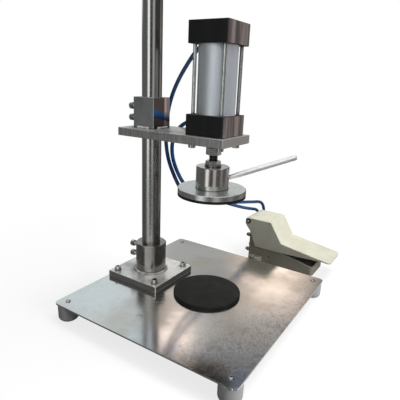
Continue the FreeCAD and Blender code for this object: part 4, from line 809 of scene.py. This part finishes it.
def add_welds(looks):
    """Rippled beads in place of the plain ones, round the socket and along the block's foot."""
    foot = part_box("socket_weld")[0].z

    def round_socket(along):
        outward = Vector((math.cos(along / SOCKET_RADIUS), math.sin(along / SOCKET_RADIUS), 0))
        return Vector((*COLUMN, foot)) + outward * SOCKET_RADIUS, outward

    add_weld("socket_bead", "socket_weld", round_socket, 2 * math.pi * SOCKET_RADIUS, True, "base", looks)
    arm_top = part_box("arm_plate")[1].z
    low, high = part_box("clamp_block")
    half = (high.x - low.x) / 2
    bead_length = 30 * MM
    for name, outward in (
        ("block_bead_front", Vector((0, -1, 0))),
        ("block_bead_left", Vector((-1, 0, 0))),
        ("block_bead_right", Vector((1, 0, 0))),
    ):
        along_wall = Vector((-outward.y, outward.x, 0))
        corner = Vector((*COLUMN, arm_top)) + outward * half

        def beside_block(along, corner=corner, outward=outward, along_wall=along_wall):
            return corner + along_wall * (along - bead_length / 2), outward

        node = "block_welds" if name == "block_bead_front" else None
        add_weld(name, node, beside_block, bead_length, False, "arm", looks)


# Floor, light and camera

WHITE = (1, 1, 1, 1)


def pale_floor():
    """A pale floor that takes shadows and turns white, or clear to other rays, towards its rim."""
    fade_start = 0.42
    fade_end = 0.76
    glow = 0.78
    material, tree = new_tree("pale_floor")
    x, y = tree.parts(tree.place())[:2]
    squares = tree.math("ADD", tree.times(x, x), tree.times(y, y))
    rim = tree.remap(tree.math("SQRT", squares), fade_start, fade_end)
    rays = tree.add("ShaderNodeLightPath", {}).outputs
    seen = tree.math("MAXIMUM", rays["Is Camera Ray"], rays["Is Transmission Ray"])
    plain = tree.add("ShaderNodeBsdfDiffuse", {"Color": (0.24, 0.24, 0.24, 1)}).outputs[0]
    lift = tree.add("ShaderNodeEmission", {"Color": WHITE, "Strength": tree.times(seen, glow)}).outputs[0]
    lit = tree.add("ShaderNodeAddShader", {0: plain, 1: lift}).outputs[0]
    white = tree.add("ShaderNodeEmission", {"Color": WHITE, "Strength": 1.0}).outputs[0]
    clear = tree.add("ShaderNodeBsdfTransparent", {"Color": WHITE}).outputs[0]
    edge = tree.add("ShaderNodeMixShader", {0: seen, 1: clear, 2: white}).outputs[0]
    shader = tree.add("ShaderNodeMixShader", {0: rim, 1: lit, 2: edge})
    tree.add("ShaderNodeOutputMaterial", {0: shader.outputs[0]})
    return material


def add_floor():
    """A round floor just under the feet."""
    below_feet = 0.1 * MM
    radius = 0.8
    steps = 96
    ring = []
    for step in range(steps):
        angle = 2 * math.pi * step / steps
        ring.append((radius * math.cos(angle), radius * math.sin(angle), 0))
    mesh = bpy.data.meshes.new("floor")
    mesh.from_pydata(ring, [], [tuple(range(steps))])
    mesh.materials.append(pale_floor())
    floor = bpy.data.objects.new("floor", mesh)
    floor.location = (0.06, 0.02, cad_box[0].z - below_feet)
    bpy.context.scene.collection.objects.link(floor)
    floor.visible_glossy = False


# Soft cards round the studio that metal reflects: (azimuth, elevation, half width, half height,
# softness sideways, softness up and down, colour). Azimuth 0 is +X and 90 is +Y, in degrees.
CARDS = [
    (125, -10, 34, 60, 16, 10, (0.13, 0.135, 0.13)),
    (208, 41, 22, 14, 22, 15, (1.9, 1.97, 2.06)),
    (181, 12, 6, 12, 11, 10, (1.35, 1.35, 1.35)),
    (174, -13, 6, 4, 11, 7, (1.40, 1.40, 1.40)),
    (188, -34, 5, 10, 9, 8, (1.20, 1.20, 1.20)),
    (236, 12, 5, 12, 12, 10, (0.50, 0.50, 0.49)),
    (225, -13, 5, 4, 9, 7, (0.70, 0.70, 0.68)),
    (235, -34, 4, 10, 9, 8, (0.70, 0.70, 0.68)),
    (276, -26, 4, 14, 9, 8, (0.26, 0.25, 0.24)),
    (327, -14, 6, 20, 10, 8, (0.30, 0.26, 0.25)),
    (8, -10, 14, 12, 12, 10, (0.16, 0.15, 0.145)),
    (62, -10, 10, 30, 14, 14, (0.22, 0.23, 0.23)),
    (60, 17, 26, 6, 14, 6, (0.92, 0.97, 0.98)),
    (26, 20, 10, 4, 10, 5, (0.50, 0.50, 0.48)),
    (30, 34, 5, 3, 5, 4, (0.62, 0.60, 0.56)),
    (59, 30, 17, 12, 6, 8, (0.78, 0.85, 0.86)),
    (35.6, 37, 1.5, 3.5, 2.5, 4, (2.1, 1.72, 1.48)),
    (20.5, 25, 1.5, 3, 6, 6, (1.85, 1.50, 1.25)),
    (22, 34, 3, 2, 5, 3, (0.46, 0.44, 0.41)),
    (27, 42.5, 14, 4, 5, 2.5, (0.12, 0.16, 0.22)),
    (60, 75, 180, 20, 30, 12, (0.95, 0.96, 0.97)),
]
STUDIO_DARK = (0.055, 0.054, 0.052)
PLAIN_LIGHT = (0.15, 0.15, 0.15)


def add_world():
    """White behind the machine, plain light on it, and a studio of soft cards in its reflections."""
    world = bpy.data.worlds.new("studio")
    bpy.context.scene.world = world
    tree = Tree(world)
    direction = tree.add("ShaderNodeTexCoord", {}).outputs["Generated"]
    x, y, z = tree.parts(direction)
    azimuth = tree.math("DEGREES", tree.math("ARCTAN2", y, x))
    elevation = tree.math("DEGREES", tree.math("ARCSINE", z))
    colour = STUDIO_DARK
    for card_azimuth, card_elevation, wide, high, soft_wide, soft_high, card_colour in CARDS:
        away = tree.math("SUBTRACT", azimuth, float(card_azimuth))
        wrap = tree.add("ShaderNodeMath", {0: away, 1: 180.0, 2: -180.0}, operation="WRAP").outputs[0]
        across = tree.remap(tree.math("ABSOLUTE", wrap), wide + soft_wide, wide)
        above = tree.math("ABSOLUTE", tree.math("SUBTRACT", elevation, float(card_elevation)))
        share = tree.times(across, tree.remap(above, high + soft_high, high))
        colour = tree.mix(share, colour, card_colour)
    rays = tree.add("ShaderNodeLightPath", {}).outputs
    seen = tree.math("MAXIMUM", rays["Is Camera Ray"], rays["Is Transmission Ray"])
    plain = tree.mix(rays["Is Glossy Ray"], PLAIN_LIGHT, colour)
    final = tree.mix(seen, plain, (1, 1, 1))
    background = tree.add("ShaderNodeBackground", {"Color": final, "Strength": 1.0})
    tree.add("ShaderNodeOutputWorld", {0: background.outputs[0]})


def add_lamp(name, place, aim, size, watts):
    lamp = bpy.data.lights.new(name, "AREA")
    lamp.size = size
    lamp.energy = watts
    thing = bpy.data.objects.new(name, lamp)
    thing.location = place
    thing.rotation_euler = (Vector(aim) - Vector(place)).to_track_quat("-Z", "Y").to_euler()
    thing.visible_glossy = False
    bpy.context.scene.collection.objects.link(thing)


def add_lights():
    middle = (0.06, 0.03, 0.2)
    add_lamp("key_lamp", (0.5, -0.5, 1.9), middle, 1.0, 30)
    add_lamp("front_lamp", (-0.15, -1.7, 0.7), middle, 0.8, 20)
    add_lamp("back_lamp", (1.0, 1.1, 1.6), middle, 1.2, 7)


def add_camera():
    yaw, pitch, roll = (math.radians(angle) for angle in (CAMERA_YAW, CAMERA_PITCH, CAMERA_ROLL))
    ahead = Vector((-math.sin(yaw) * math.cos(pitch), math.cos(yaw) * math.cos(pitch), -math.sin(pitch)))
    level = Vector((math.cos(yaw), math.sin(yaw), 0))
    above = level.cross(ahead)
    right = math.cos(roll) * level + math.sin(roll) * above
    up = -math.sin(roll) * level + math.cos(roll) * above
    turn = Matrix((right, up, -ahead)).transposed().to_4x4()
    turn.translation = CAMERA_PLACE
    lens = bpy.data.cameras.new("camera")
    lens.sensor_width = SENSOR_WIDTH
    lens.lens = SENSOR_WIDTH * FOCAL_PIXELS / FRAME_PIXELS
    lens.clip_start = 0.01
    camera = bpy.data.objects.new("camera", lens)
    camera.matrix_world = turn
    bpy.context.scene.collection.objects.link(camera)
    bpy.context.scene.camera = camera


add_camera()
looks = finishes()
add_hose("hose_upper", UPPER_HOSE, looks["blue_hose"])
add_hose("hose_lower", LOWER_HOSE, looks["blue_hose"])
dress_nodes(looks)
add_rod()
add_spring()
add_threads(looks)
add_welds(looks)
add_floor()
add_world()
add_lights()
bpy.context.scene.view_settings.view_transform = "Standard"
